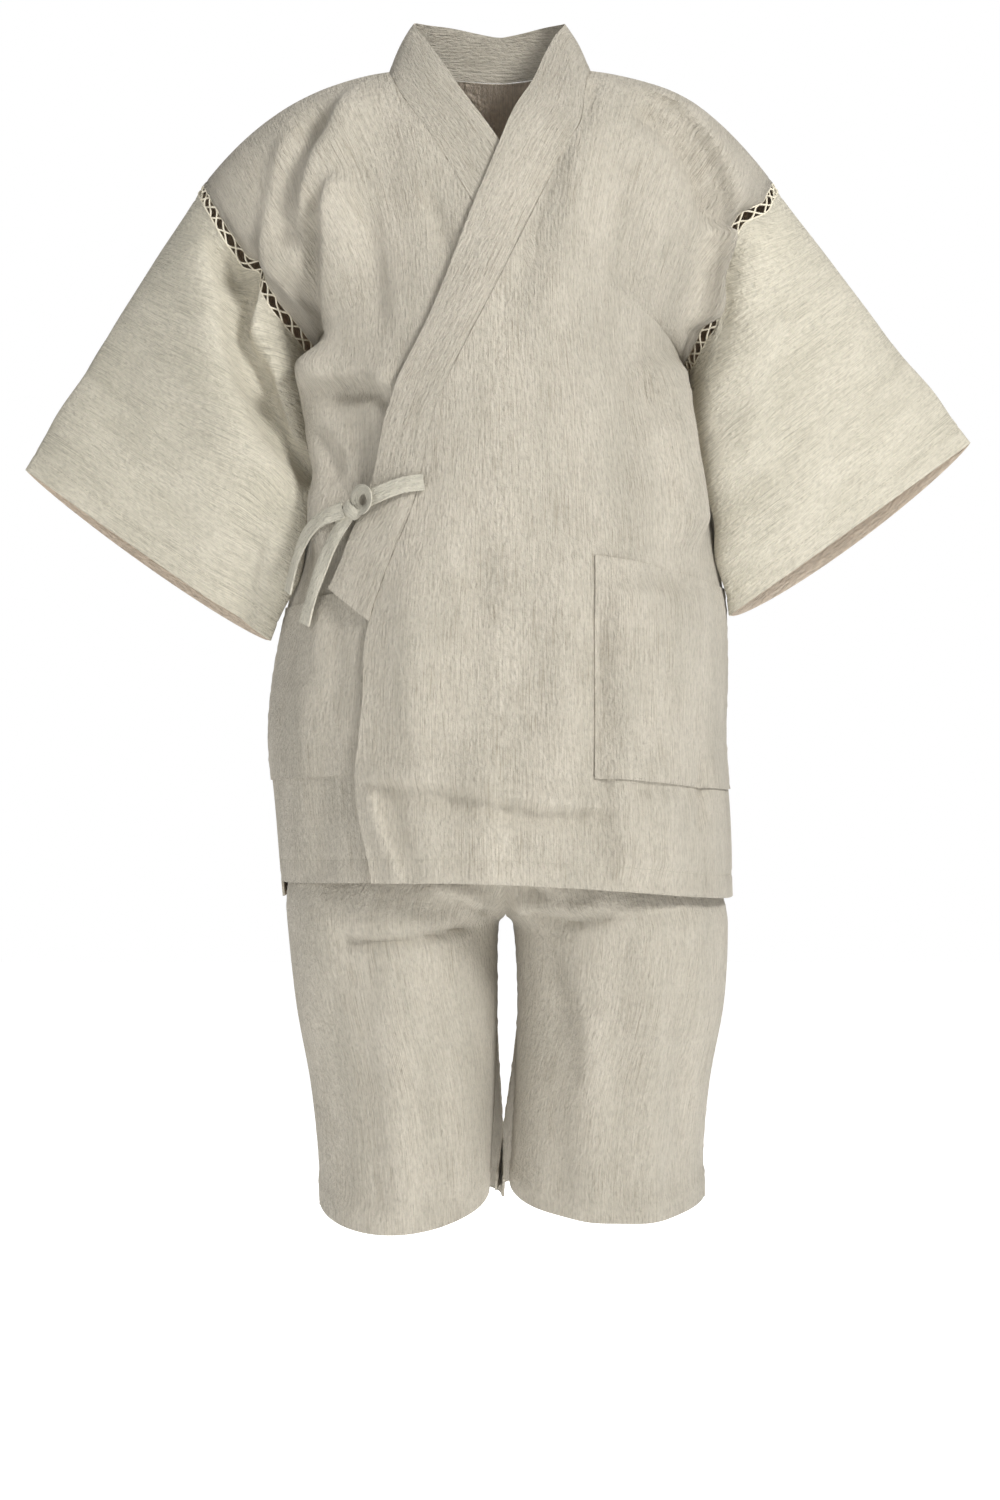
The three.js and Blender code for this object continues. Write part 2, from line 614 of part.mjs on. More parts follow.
function knot() {
  const v = lengthAt(KNOT.x, KNOT.z);
  const s = acrossAt(v, KNOT.x);
  const normal = outward(form, v, s, NUDGE_V, NUDGE_S);
  const centre = form(v, s).addScaledVector(normal, KNOT.lift);
  const geometry = new THREE.SphereGeometry(0.5, KNOT_STEPS, KNOT_STEPS / 2);
  geometry.scale(KNOT.width, KNOT.depth, KNOT.height);
  geometry.rotateZ(Math.atan2(normal.x, -normal.y));
  geometry.translate(centre.x, centre.y, centre.z);
  return geometry;
}

// A point of the shorts: row v, and share 0 at the centre seam or inseam to 1 at the side seam.
function shortsPoint(side, face, v, share) {
  const rows = SHORTS[side];
  const column = (name) => sample(rows, 'v', name, v);
  const sign = SIDE_SIGN[side];
  const start = clamp(degrees(column('start')), 0, RIGHT_ANGLE);
  const angle = mix(start, Math.PI, share);
  const reach = (Math.cos(start) - Math.cos(angle)) / (Math.cos(start) + 1);
  const swell = Math.max(Math.sin(angle), 0) ** (2 / SHORTS_FULLNESS);
  const y = column(face) * swell + SEAM / 2;
  const inX = column('inX') + sign * INSEAM_GAP;
  const x = mix(inX, column('outX'), reach);
  const z = mix(column('inZ'), column('outZ'), smooth(reach));
  return new THREE.Vector3(x, face === 'front' ? -y : y, z);
}

function shortsPanel(side, face) {
  const rows = SHORTS[side];
  const grid = rows.map((row) => {
    const points = [];
    for (let column = 0; column <= SHORTS_COLUMNS; column += 1) {
      points.push(shortsPoint(side, face, row.v, column / SHORTS_COLUMNS));
    }
    return points;
  });
  return wallOf(grid, WALL);
}

// The waistband casing, a ring just above the four panels.
function waistband() {
  const top = [];
  const bottom = [];
  for (const { side, face, outward: goesOut } of WAIST_QUARTERS) {
    for (let step = 0; step < WAIST_STEPS; step += 1) {
      const share = step / WAIST_STEPS;
      const point = shortsPoint(side, face, 0, goesOut ? share : 1 - share);
      bottom.push(point.clone().setZ(point.z + WAIST_GAP));
      top.push(point.clone().setZ(point.z + WAIST_GAP + WAIST_BAND));
    }
  }
  return wallOf([top, bottom], WALL, true);
}

function jinbei() {
  const group = new THREE.Group();
  for (const side of ['left', 'right']) {
    group.add(piece(`body_${side}`, bodyPanel(side), CLOTH));
    group.add(piece(`sleeve_${side}`, sleeve(side), CLOTH));
    group.add(piece(`lacing_${side}`, lacing(side), CORD));
    group.add(piece(`pocket_${side}`, pocket(side), CLOTH));
    group.add(piece(`shorts_front_${side}`, shortsPanel(side, 'front'), CLOTH));
    group.add(piece(`shorts_back_${side}`, shortsPanel(side, 'back'), CLOTH));
  }
  group.add(piece('collar', collar(), CLOTH));
  group.add(piece('waistband', waistband(), CLOTH));
  for (const [name, route] of Object.entries(TIES)) group.add(piece(name, tie(route), CLOTH));
  group.add(piece('tie_knot', knot(), CLOTH));
  return group;
}

export default jinbei();
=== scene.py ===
"""Looks of the jinbei set: crinkled cotton jacket and shorts in the hollow form of wear.

Sizes below are millimetres in the frame's own axes: +Z up, the front faces -Y, +X is the
wearer's left, and the origin is the neck base. They become metres when a mesh is made.
"""
import math

import bpy
import numpy as np
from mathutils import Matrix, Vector


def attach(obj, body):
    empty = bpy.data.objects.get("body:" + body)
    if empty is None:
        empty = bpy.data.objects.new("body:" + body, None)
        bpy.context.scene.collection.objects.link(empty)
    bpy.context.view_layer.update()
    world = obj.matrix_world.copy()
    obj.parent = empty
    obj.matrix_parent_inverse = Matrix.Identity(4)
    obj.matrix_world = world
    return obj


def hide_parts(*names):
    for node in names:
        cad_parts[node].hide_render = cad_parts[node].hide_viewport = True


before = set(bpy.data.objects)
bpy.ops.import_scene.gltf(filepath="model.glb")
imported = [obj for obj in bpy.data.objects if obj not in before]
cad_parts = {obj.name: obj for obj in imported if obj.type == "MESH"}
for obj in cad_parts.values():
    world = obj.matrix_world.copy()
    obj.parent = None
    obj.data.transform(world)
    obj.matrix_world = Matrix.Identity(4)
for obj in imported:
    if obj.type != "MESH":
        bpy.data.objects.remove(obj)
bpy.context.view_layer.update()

MM = 0.001
CENTRE = 10.0
FULLNESS = 2.3
LENGTH = 803.0
ARMHOLE = 240.0
ARMHOLE_DEPTH = 62.0
NECK_DROP = 62.0
SEAM = 0.3
UNDERLAP = 6.5
SIGN = {"right": -1.0, "left": 1.0}
CLOTH = 1.2
CLOTH_WIDTH = 300.0
HEM_FROM = 640.0  # cloth length below which the hem hangs uneven
HEM_DIP = 0.035  # fall of the front hem towards the wearer's left, per millimetre across
BACK_HEM = 9.0  # how much lower the back hem hangs
BACK_SEAM = 1.3  # how far behind, in gaps, the armhole seam lies further down the arm
HEM_TURN = 21.0  # the stitch line above a jacket or leg hem
CUFF_TURN = 18.0  # the stitch line above a cuff
FOLDED = 24.0  # how far a hem's turned-in layer reaches
CUFF_FOLDED = 20.0
TURNED = 0.9  # extra thickness where the hem is turned in
BAND_END = 563.0  # cloth length at which the collar band ends on the covering front
BAND_INSET = 0.4
BAND_WIDTH_STEPS = 13
ROW_STEP = 4.6  # spacing of a body panel's rows
SLEEVE_LENGTH = 290.0
FACE_FROM, FACE_BLEND = 1.0, 13.0  # depth from which, and over which, creases take hold
LEAN_WIDTH, LEAN_MOST = 380.0, 0.6  # creases lean outwards with distance from the centre
LACE_CROSSINGS, LACE_STEPS = 34, 12
LACE_RADIUS, LACE_EDGE_RADIUS = 0.85, 0.8
WAIST_HEIGHT = 35.0
WAIST_GATHERS = 46


def table(names, *rows):
    """A table whose columns are reached by name."""
    return {name: np.array([row[k] for row in rows], float) for k, name in enumerate(names.split())}


BODY = table(
    "v front_y front_z back_y back_z side_z fall",
    (0, 0, 0, 0, 0, -107, 3.3),
    (25, -24, -4, 26, 2, -112, 3.2),
    (60, -55, -21, 59, 0, -131, 3.0),
    (120, -95, -65, 93, -46, -188, 2.6),
    (180, -118, -120, 112, -102, -245, 2.3),
    (240, -131, -178, 122, -161, -268, 2.0),
    (300, -138, -238, 126, -221, -312, 2.0),
    (420, -145, -358, 128, -345, -406, 2.0),
    (540, -148, -478, 130, -470, -507, 2.0),
    (660, -151, -598, 131, -597, -617, 2.0),
    (803, -153, -741, 133, -747, -755, 2.0),
)
SIDES = table(
    "v right left",
    (240, -169, 179), (300, -168, 181), (360, -166, 196), (420, -166, 207), (480, -176, 214),
    (540, -188, 218), (600, -198, 219), (660, -202, 218), (730, -197, 224), (803, -191, 227),
)
HOLES = {
    "right": {"top": (-262, -107), "under": (-170, -268)},
    "left": {"top": (262, -105), "under": (180, -272)},
}
SLEEVES = {
    "right": table(
        "t top_x top_z under_x under_y under_z front back point drop",
        (0, -269, -119, -178, 0, -281, 62, 62, 1.0, 0),
        (0.25, -309, -179, -169, -42, -333, 54, 66, 1.0, 3),
        (0.5, -349, -241, -158, -60, -395, 42, 66, 1.1, 6),
        (0.75, -389, -304, -172, -48, -464, 38, 58, 1.2, 10),
        (1, -429, -368, -200, -30, -526, 28, 48, 1.3, 14),
    ),
    "left": table(
        "t top_x top_z under_x under_y under_z front back point drop",
        (0, 269, -117, 188, 0, -285, 62, 62, 1.0, 0),
        (0.25, 313, -173, 186, -42, -342, 54, 66, 1.0, 4),
        (0.5, 357, -230, 199, -60, -396, 42, 66, 1.1, 9),
        (0.75, 402, -286, 209, -50, -450, 38, 58, 1.2, 15),
        (1, 447, -343, 221, -32, -503, 28, 48, 1.3, 20),
    ),
}
EDGES = {
    "left": table(
        "z x",
        (-741, -103), (-658, -117), (-580, -111), (-516, -107), (-403, -64), (-318, -44),
        (-205, 12), (-91, 68), (-62, 84), (-30, 88), (0, 94),
    ),
    "right": table(
        "z x",
        (-741, 118), (-658, 122), (-580, 122), (-516, 118), (-403, 92), (-318, 70),
        (-205, 22), (-107, -31), (-69, -55), (-33, -79), (0, -92),
    ),
}
COLLARS = {
    "left": table(
        "v free_v free_x stand",
        (-63, -66, 10, 45), (-53, -58, 38, 45), (-40, -46, 56, 45), (-20, -26, 69, 45),
        (0, -8, 71, 42), (30, 14, 62, 30), (65, 34, 52, 15), (100, 68, 41, 5), (130, 106, 24, 2),
        (165, 150, 8, 0), (225, 216, -18, 0), (300, 290, -49, 0), (370, 355, -84, 0),
        (430, 420, -99, 0), (500, 480, -120, 0), (563, 524, -140, 0),
    ),
    "right": table(
        "v free_v free_x stand",
        (-63, -66, 10, 45), (-53, -58, -18, 45), (-40, -46, -38, 45), (-20, -26, -58, 45),
        (0, -8, -69, 44), (30, 14, -60, 30), (65, 40, -46, 15), (100, 74, -26, 4), (140, 122, 2, 0),
        (190, 172, 28, 0), (270, 255, 66, 0), (350, 335, 98, 0), (440, 425, 132, 0), (540, 510, 158, 0),
    ),
}
SHORTS = {
    "right": table(
        "v out_z in_z out_x in_x front back start",
        (0, -500, -500, -140, 16, 104, 98, 90), (100, -600, -600, -160, 16, 114, 110, 90),
        (180, -680, -680, -174, 16, 117, 116, 90), (225, -722, -730, -181, 16, 117, 116, 68),
        (258, -748, -762, -185, 16, 116, 115, 40), (280, -768, -776, -187, 16, 115, 113, 18),
        (300, -788, -790, -186, 9, 113, 111, 0), (370, -860, -860, -178, 8, 106, 104, 0),
        (450, -935, -935, -165, 6, 98, 97, 0), (520, -1005, -1000, -158, 3, 93, 92, 0),
        (570, -1054, -1046, -156, 0, 91, 90, 0),
    ),
    "left": table(
        "v out_z in_z out_x in_x front back start",
        (0, -500, -500, 172, 16, 104, 98, 90), (100, -600, -600, 190, 16, 114, 110, 90),
        (180, -680, -680, 205, 16, 117, 116, 90), (225, -722, -730, 211, 16, 117, 116, 68),
        (258, -748, -762, 214, 16, 116, 115, 40), (280, -768, -776, 219, 16, 115, 113, 18),
        (300, -788, -790, 222, 24, 113, 111, 0), (370, -860, -860, 219, 28, 106, 104, 0),
        (450, -935, -935, 206, 26, 98, 97, 0), (520, -1005, -1000, 200, 23, 93, 92, 0),
        (565, -1046, -1040, 201, 21, 91, 90, 0),
    ),
}


def creases(names, *rows):
    """Creases as rows of named columns and then each one's points in the front or back view:
    half width, height off the cloth (below 0 a trough), lean (above 0 the right flank is the
    steep one, for a line drawn downwards), roll, how far the crest leans over to that side,
    and fade, the share of its length over which each end dies away."""
    names = names.split()
    width = len(names)
    return [dict(zip(names, row), path=np.array(row[width:], float)) for row in rows]


CREASE_COLUMNS = "half height lean roll fade"
# Creases seen from the front. Lines run from the top down, or from -X to +X.
FRONT_CREASES = creases(
    CREASE_COLUMNS,
    # wearer's right shoulder and sleeve
    (20, 18, -0.5, -2, 0.2, (-164, -50), (-178, -92), (-187, -140), (-192, -188), (-202, -236),
     (-204, -290)),
    (24, 0, 0, 16, 0.15, (-236, -190), (-204, -226), (-168, -262), (-148, -282)),
    (12, 9, 0, -2, 0.22, (-200, -262), (-194, -304), (-178, -352)),
    (27, -24, 0, 0, 0.22, (-216, -246), (-196, -304), (-172, -360), (-152, -404)),
    (18, 15, -0.6, -2, 0.22, (-104, -14), (-130, -58), (-145, -98), (-153, -132), (-158, -170)),
    (16, -18, 0, 0, 0.22, (-134, -34), (-158, -66), (-172, -96), (-180, -128), (-180, -160), (-176, -196)),
    (7, -6, 0, 0, 0.22, (-176, -184), (-172, -216), (-160, -244)),
    (8, 5, 0, 0, 0.22, (-156, -150), (-160, -196), (-152, -236)),
    (17, 15, -0.65, -5, 0.14, (-120, -106), (-132, -150), (-135, -200), (-136, -262), (-148, -308)),
    (9, -12, 0, 0, 0.2, (-143, -118), (-155, -160), (-158, -215), (-159, -268)),
    (22, 17, 0.9, 14, 0.12, (-266, -150), (-261, -190), (-250, -257), (-236, -313), (-214, -357),
     (-178, -401)),
    (15, -30, 0, -9, 0.12, (-243, -160), (-233, -215), (-226, -262), (-211, -316), (-190, -357),
     (-166, -388)),
    (11, -14, 0, 0, 0.22, (-182, -262), (-174, -310), (-156, -366)),
    (15, 15, -0.6, -10, 0.16, (-146, -258), (-152, -300), (-149, -350), (-144, -400), (-144, -460)),
    (34, 4, 0, 0, 0.22, (-262, -330), (-250, -400), (-238, -470)),
    (30, -4, 0, 0, 0.22, (-320, -230), (-340, -300), (-352, -370)),
    (16, -8, 0.3, 0, 0.22, (-205, -420), (-222, -470), (-228, -520)),
    # wearer's right chest
    (8, -3, 0, 0, 0.22, (-114, -108), (-103, -167), (-98, -210), (-92, -270)),
    (10, 2.5, 0, 0, 0.22, (-98, -108), (-86, -167), (-80, -210), (-76, -270)),
    (8, -5, 0, 0, 0.22, (-56, -126), (-44, -156), (-34, -186)),
    (11, 10, -0.6, -2, 0.22, (-160, -306), (-130, -292), (-102, -290), (-80, -304)),
    (8, -9, 0, 0, 0.22, (-140, -306), (-104, -306), (-82, -322)),
    (6, 5, -0.3, 0, 0.22, (-158, -330), (-146, -356), (-140, -392)),
    (5, -3.5, 0, 0, 0.22, (-148, -330), (-132, -360), (-128, -392)),
    (6, 3.5, 0, 0, 0.22, (-134, -332), (-120, -362), (-118, -394)),
    (10, 4, 0, 0, 0.22, (-154, -430), (-150, -480), (-156, -560)),
    (12, -3.5, 0, 0, 0.22, (-138, -450), (-134, -520), (-140, -610)),
    # wearer's left shoulder and sleeve
    (7, -7, 0, 0, 0.22, (98, -16), (92, -40), (84, -74)),
    (9, -6, 0.3, 0, 0.22, (74, -66), (56, -120), (41, -160), (32, -232)),
    (15, 5, -0.4, 0, 0.22, (92, -60), (76, -130), (62, -190), (52, -260)),
    (20, 0, 0, -17, 0.3, (256, -132), (240, -162), (222, -200), (206, -236)),
    (12, 17, -0.7, -5, 0.2, (112, -18), (162, -30), (190, -58), (210, -94), (222, -130), (226, -168)),
    (11, -13, 0, 0, 0.2, (124, -46), (156, -62), (178, -92), (194, -128), (206, -164)),
    (9, 15, 0.3, 11, 0.15, (208, -150), (205, -182), (199, -218), (190, -250)),
    (6, -10, 0, 6, 0.16, (199, -150), (195, -182), (188, -218), (178, -254), (164, -290)),
    (8, -10, 0, 0, 0.16, (234, -168), (226, -212), (214, -256), (198, -300)),
    (15, 8, 0.6, 13, 0.16, (158, -262), (166, -320), (176, -380), (184, -450)),
    (7, 4, 0.3, 0, 0.22, (136, -276), (148, -300), (172, -310)),
    (8, -4, 0, 0, 0.22, (126, -292), (144, -320), (166, -330)),
    (16, -4, 0.2, 0, 0.22, (118, -250), (124, -330), (112, -400)),
    (14, 4, 0.3, 0, 0.22, (150, -352), (134, -430), (142, -520)),
    (12, -4, 0, 0, 0.22, (172, -330), (166, -420), (178, -520)),
    (26, -5, 0, 0, 0.22, (262, -190), (268, -280), (250, -380)),
    (16, 5, -0.3, 0, 0.22, (246, -220), (238, -300), (240, -390)),
    (30, 4, 0, 0, 0.22, (330, -230), (350, -300), (372, -370)),
    (22, 4, 0.2, 0, 0.22, (292, -300), (290, -380), (276, -450)),
    # body front and its press creases
    (18, -6, 0, 0, 0.22, (-6, -440), (-8, -540), (-2, -640)),
    (26, 3, 0, 0, 0.22, (30, -330), (38, -440), (30, -560)),
    (18, 5, 0, 0, 0.22, (66, -440), (62, -540), (72, -640)),
    (20, 5, 0, 0, 0.22, (-60, -420), (-66, -520), (-62, -630)),
    (9, 8, -0.8, 0, 0.12, (-122, -647), (-47, -649), (20, -663), (70, -671), (118, -674)),
    (9, -6, 0, 0, 0.16, (-104, -663), (-40, -665), (30, -679), (112, -686)),
    (7, -4.5, 0, 0, 0.22, (116, -660), (160, -658), (206, -664)),
    (38, 13, -1.1, 0, 0.08, (118, -470), (119, -560), (120, -650), (122, -745)),
    (9, -3, 0, 0, 0.1, (103, -640), (105, -690), (107, -745)),
    (7, -4, 0, 0, 0.22, (99, -480), (101, -560), (103, -634)),
    (6, 5, 0.8, 0, 0.1, (-104, -656), (-94, -694), (-76, -742)),
    (8, -3, 0, 0, 0.1, (-88, -664), (-76, -700), (-62, -742)),
    (6, -5, 0, 0, 0.22, (186, -626), (190, -660), (186, -700)),
    (14, 3.5, 0, 0, 0.1, (-168, -560), (-172, -640), (-168, -745)),
    (12, -3, 0, 0, 0.1, (-144, -600), (-148, -680), (-146, -745)),
    (16, 3, 0, 0, 0.1, (160, -560), (158, -640), (160, -745)),
)
# Creases of the back, seen through from the front.
BACK_CREASES = creases(
    CREASE_COLUMNS,
    (18, 14, -0.5, 0, 0.22, (-150, -40), (-176, -96), (-196, -160), (-200, -230)),
    (15, -9, 0, 0, 0.22, (-122, -60), (-150, -130), (-160, -210), (-150, -290)),
    (18, 14, 0.5, 0, 0.22, (158, -40), (186, -96), (204, -160), (206, -235)),
    (15, -9, 0, 0, 0.22, (126, -60), (152, -130), (160, -210), (150, -280)),
    (20, 6, 0, 0, 0.22, (-96, -80), (-104, -180), (-84, -300)),
    (20, 6, 0, 0, 0.22, (92, -80), (106, -180), (88, -310)),
    (22, 11, 0.5, 0, 0.22, (-236, -180), (-240, -260), (-262, -350), (-280, -430)),
    (22, -8, 0, 0, 0.22, (-270, -200), (-290, -290), (-320, -380)),
    (22, 11, -0.5, 0, 0.22, (240, -180), (246, -260), (268, -340), (290, -410)),
    (22, -8, 0, 0, 0.22, (280, -200), (304, -280), (336, -350)),
    (20, 8, 0.2, 0, 0.1, (-40, -360), (-62, -480), (-70, -610), (-60, -748)),
    (18, 6, -0.2, 0, 0.1, (-104, -420), (-120, -560), (-116, -748)),
    (15, -5, 0, 0, 0.1, (-84, -430), (-92, -560), (-88, -748)),
    (20, 8, -0.2, 0, 0.1, (88, -360), (112, -490), (118, -620), (110, -748)),
    (16, -5, 0, 0, 0.1, (60, -430), (70, -560), (64, -748)),
    (15, 6, 0, 0, 0.1, (166, -440), (176, -580), (168, -748)),
    (18, 4, 0, 0, 0.1, (28, -470), (36, -590), (24, -748)),
    (12, 5, -0.4, 0, 0.22, (-160, -290), (-90, -326), (-10, -316)),
    (12, 5, -0.4, 0, 0.22, (20, -318), (96, -330), (170, -296)),
    (12, -3, 0, 0, 0.22, (-150, -350), (-80, -372), (0, -364)),
)


def unit(vectors):
    return vectors / np.linalg.norm(vectors, axis=-1, keepdims=True)


def smooth(share):
    t = np.clip(share, 0.0, 1.0)
    return t * t * (3 - 2 * t)


def mix(low, high, share):
    return low + (high - low) * share


def sample(tab, key, column, at):
    """A table's column as a smooth curve through its rows."""
    x, y = tab[key], tab[column]
    at = np.asarray(at, float)
    slope = np.empty(len(x))
    slope[1:-1] = (y[2:] - y[:-2]) / (x[2:] - x[:-2])
    slope[0] = (y[1] - y[0]) / (x[1] - x[0])
    slope[-1] = (y[-1] - y[-2]) / (x[-1] - x[-2])
    i = np.clip(np.searchsorted(x, at, side="right") - 1, 0, len(x) - 2)
    span = x[i + 1] - x[i]
    t = np.clip((at - x[i]) / span, 0, 1)
    t2, t3 = t * t, t * t * t
    return (
        (2 * t3 - 3 * t2 + 1) * y[i] + (t3 - 2 * t2 + t) * span * slope[i]
        + (3 * t2 - 2 * t3) * y[i + 1] + (t3 - t2) * span * slope[i + 1]
    )


def row_end(side, v):
    """Outer end of a jacket row: on the armhole down to the underarm, then on the side seam."""
    length = np.abs(v)
    (top_x, top_z), (under_x, under_z) = HOLES[side]["top"], HOLES[side]["under"]
    turn = np.pi * np.minimum(length, ARMHOLE) / ARMHOLE
    share = (1 - np.cos(turn)) / 2
    face = np.where(v < 0, -1.0, 1.0)
    above = length <= ARMHOLE
    x = np.where(above, mix(top_x, under_x, share), sample(SIDES, "v", side, length))
    y = np.where(above, -face * ARMHOLE_DEPTH * np.sin(turn), -face * SEAM / 2)
    z = np.where(above, mix(top_z, under_z, share), sample(BODY, "v", "side_z", length))
    return x, y, z


def form(v, s):
    """The jacket's plain form: v down the cloth from the shoulder fold, s across it."""
    v, s = np.broadcast_arrays(np.asarray(v, float), np.asarray(s, float))
    left, right = row_end("left", v), row_end("right", v)
    end = [np.where(s < 0, r, l) for r, l in zip(right, left)]
    length = np.abs(v)
    behind = v < 0
    mid_y = np.where(behind, sample(BODY, "v", "back_y", length), sample(BODY, "v", "front_y", length))
    mid_z = np.where(behind, sample(BODY, "v", "back_z", length), sample(BODY, "v", "front_z", length))
    fall = sample(BODY, "v", "fall", length)
    angle = np.abs(s) * np.pi / 2
    across = np.sin(angle) ** (2 / FULLNESS)
    along = np.maximum(np.cos(angle), 0) ** (2 / FULLNESS)
    place = mix(CENTRE, end[0], across), mix(end[1], mid_y, along), mix(mid_z, end[2], across**fall)
    return np.stack(place, -1)


def across_at(v, x):
    """The place across a row, s, at which the form has the given x."""
    v, x = np.broadcast_arrays(np.asarray(v, float), np.asarray(x, float))
    end = np.where(x < CENTRE, row_end("right", v)[0], row_end("left", v)[0])
    share = np.clip(np.abs(x - CENTRE) / np.abs(end - CENTRE), 0, 1)
    return np.sign(x - CENTRE) * np.arcsin(share ** (FULLNESS / 2)) / (np.pi / 2)


def length_at(x, z):
    """The cloth length at which the front's form passes a place in the front view."""
    x, z = np.broadcast_arrays(np.asarray(x, float), np.asarray(z, float))
    low, high = np.zeros(x.shape), np.full(x.shape, LENGTH)
    for _ in range(30):
        middle = (low + high) / 2
        above = form(middle, across_at(middle, x))[..., 2] > z
        low, high = np.where(above, middle, low), np.where(above, high, middle)
    return (low + high) / 2


def outward(v, s):
    """The form's outward direction."""
    inside = np.clip(s, -0.99, 0.99)
    along = form(v + 2, inside) - form(v - 2, inside)
    across = form(v, inside + 0.01) - form(v, inside - 0.01)
    return unit(np.cross(along, across))


def crease_field(creases, x, z):
    """Height of all the creases at places in a flat view, and their sideways roll in x and z."""
    total, roll_x, roll_z = np.zeros(x.shape), np.zeros(x.shape), np.zeros(x.shape)
    for row in creases:
        path = row["path"]
        reach = 2.6 * row["half"] * 1.9
        near = (
            (x > path[:, 0].min() - reach) & (x < path[:, 0].max() + reach)
            & (z > path[:, 1].min() - reach) & (z < path[:, 1].max() + reach)
        )
        if not near.any():
            continue
        px, pz = x[near], z[near]
        knots = np.arange(len(path))
        fine = np.linspace(0, len(path) - 1, 6 * len(path))
        tab = {"k": knots, "x": path[:, 0], "z": path[:, 1]}
        way = np.stack([sample(tab, "k", "x", fine), sample(tab, "k", "z", fine)], -1)
        best = np.full(px.shape, 1e9)
        side, place, across_x, across_z = (np.zeros(px.shape) for _ in range(4))
        for i in range(len(way) - 1):
            dx, dz = way[i + 1] - way[i]
            size = math.hypot(dx, dz)
            held = np.clip(((px - way[i, 0]) * dx + (pz - way[i, 1]) * dz) / size**2, 0, 1)
            off_x, off_z = px - way[i, 0] - held * dx, pz - way[i, 1] - held * dz
            gap = np.hypot(off_x, off_z)
            nearer = gap < best
            best = np.where(nearer, gap, best)
            offset = (off_x * dz - off_z * dx) / size
            side = np.where(nearer, offset, side)
            place = np.where(nearer, (i + held) / (len(way) - 1), place)
            across_x, across_z = np.where(nearer, -dz / size, across_x), np.where(nearer, dx / size, across_z)
        turn = np.tanh(side / (0.3 * row["half"]))
        half = row["half"] * (1 + 0.62 * row["lean"] * turn)
        run = smooth(place / row["fade"]) * smooth((1 - place) / row["fade"])
        shape = (0.06 + 0.94 * run) * np.exp(-((best / half) ** 2))
        total[near] += row["height"] * shape
        roll_x[near] += row["roll"] * shape * across_x
        roll_z[near] += row["roll"] * shape * across_z
    return total, roll_x, roll_z


def warp(point, at=None):
    """Moves points by the creases, which run on from one piece into the next. Front creases
    move what faces front, and back ones what faces back. at is where the creases are read."""
    x, y, z = np.moveaxis(point if at is None else at, -1, 0)
    moved = point.copy()
    for creases, face in ((FRONT_CREASES, -1.0), (BACK_CREASES, 1.0)):
        weight = smooth((y * face - FACE_FROM) / FACE_BLEND)
        height, roll_x, roll_z = crease_field(creases, x, z)
        lean_x = np.clip((x - CENTRE) / LEAN_WIDTH, -LEAN_MOST, LEAN_MOST)
        moved[..., 0] += weight * (height * lean_x + roll_x)
        moved[..., 1] += weight * height * face * np.sqrt(1 - lean_x**2)
        moved[..., 2] += weight * (roll_z + 0.1 * height)
    return moved


def drape(u, v, seed, across=90.0, down=420.0, height=1.0):
    """Slow uneven undulations of hanging cloth, longer down the cloth than across it."""
    random = np.random.default_rng(seed)
    total = np.zeros(np.broadcast(u, v).shape)
    for _ in range(9):
        turn_u = random.uniform(0.5, 1.5) / across
        turn_v = random.uniform(-1.0, 1.0) / down
        share, start = random.uniform(0.3, 1.0), random.uniform(0, 6.28)
        total = total + share * np.sin(2 * np.pi * (u * turn_u + v * turn_v) + start)
    return height * total / 2.2


def pucker(along, off, seed, reach=9.0, height=0.35, pitch=13.0):
    """Small gathers beside a sewn line, at a distance off it."""
    random = np.random.default_rng(seed)
    wave = np.zeros(np.shape(along))
    for share in (1.0, 1.37, 0.71):
        wave = wave + np.sin(2 * np.pi * along * share / pitch + random.uniform(0, 6.28))
    return height * wave / 2 * np.exp(-((off / reach) ** 2))


def seam_groove(off, depth=0.9, half=1.6):
    return -depth * np.exp(-((off / half) ** 2))


def grid_normals(grid, ring=False):
    down = np.gradient(grid, axis=0)
    if ring:
        over = np.roll(grid, -1, axis=1) - np.roll(grid, 1, axis=1)
    else:
        over = np.gradient(grid, axis=1)
    normal = np.cross(over, down)
    return normal / np.maximum(np.linalg.norm(normal, axis=-1, keepdims=True), 1e-9)


def arc(grid, axis):
    """Distance along the grid's rows or columns."""
    step = np.linalg.norm(np.diff(grid, axis=axis), axis=-1)
    start = np.zeros_like(np.take(step, [0], axis=axis))
    return np.concatenate([start, np.cumsum(step, axis=axis)], axis=axis)


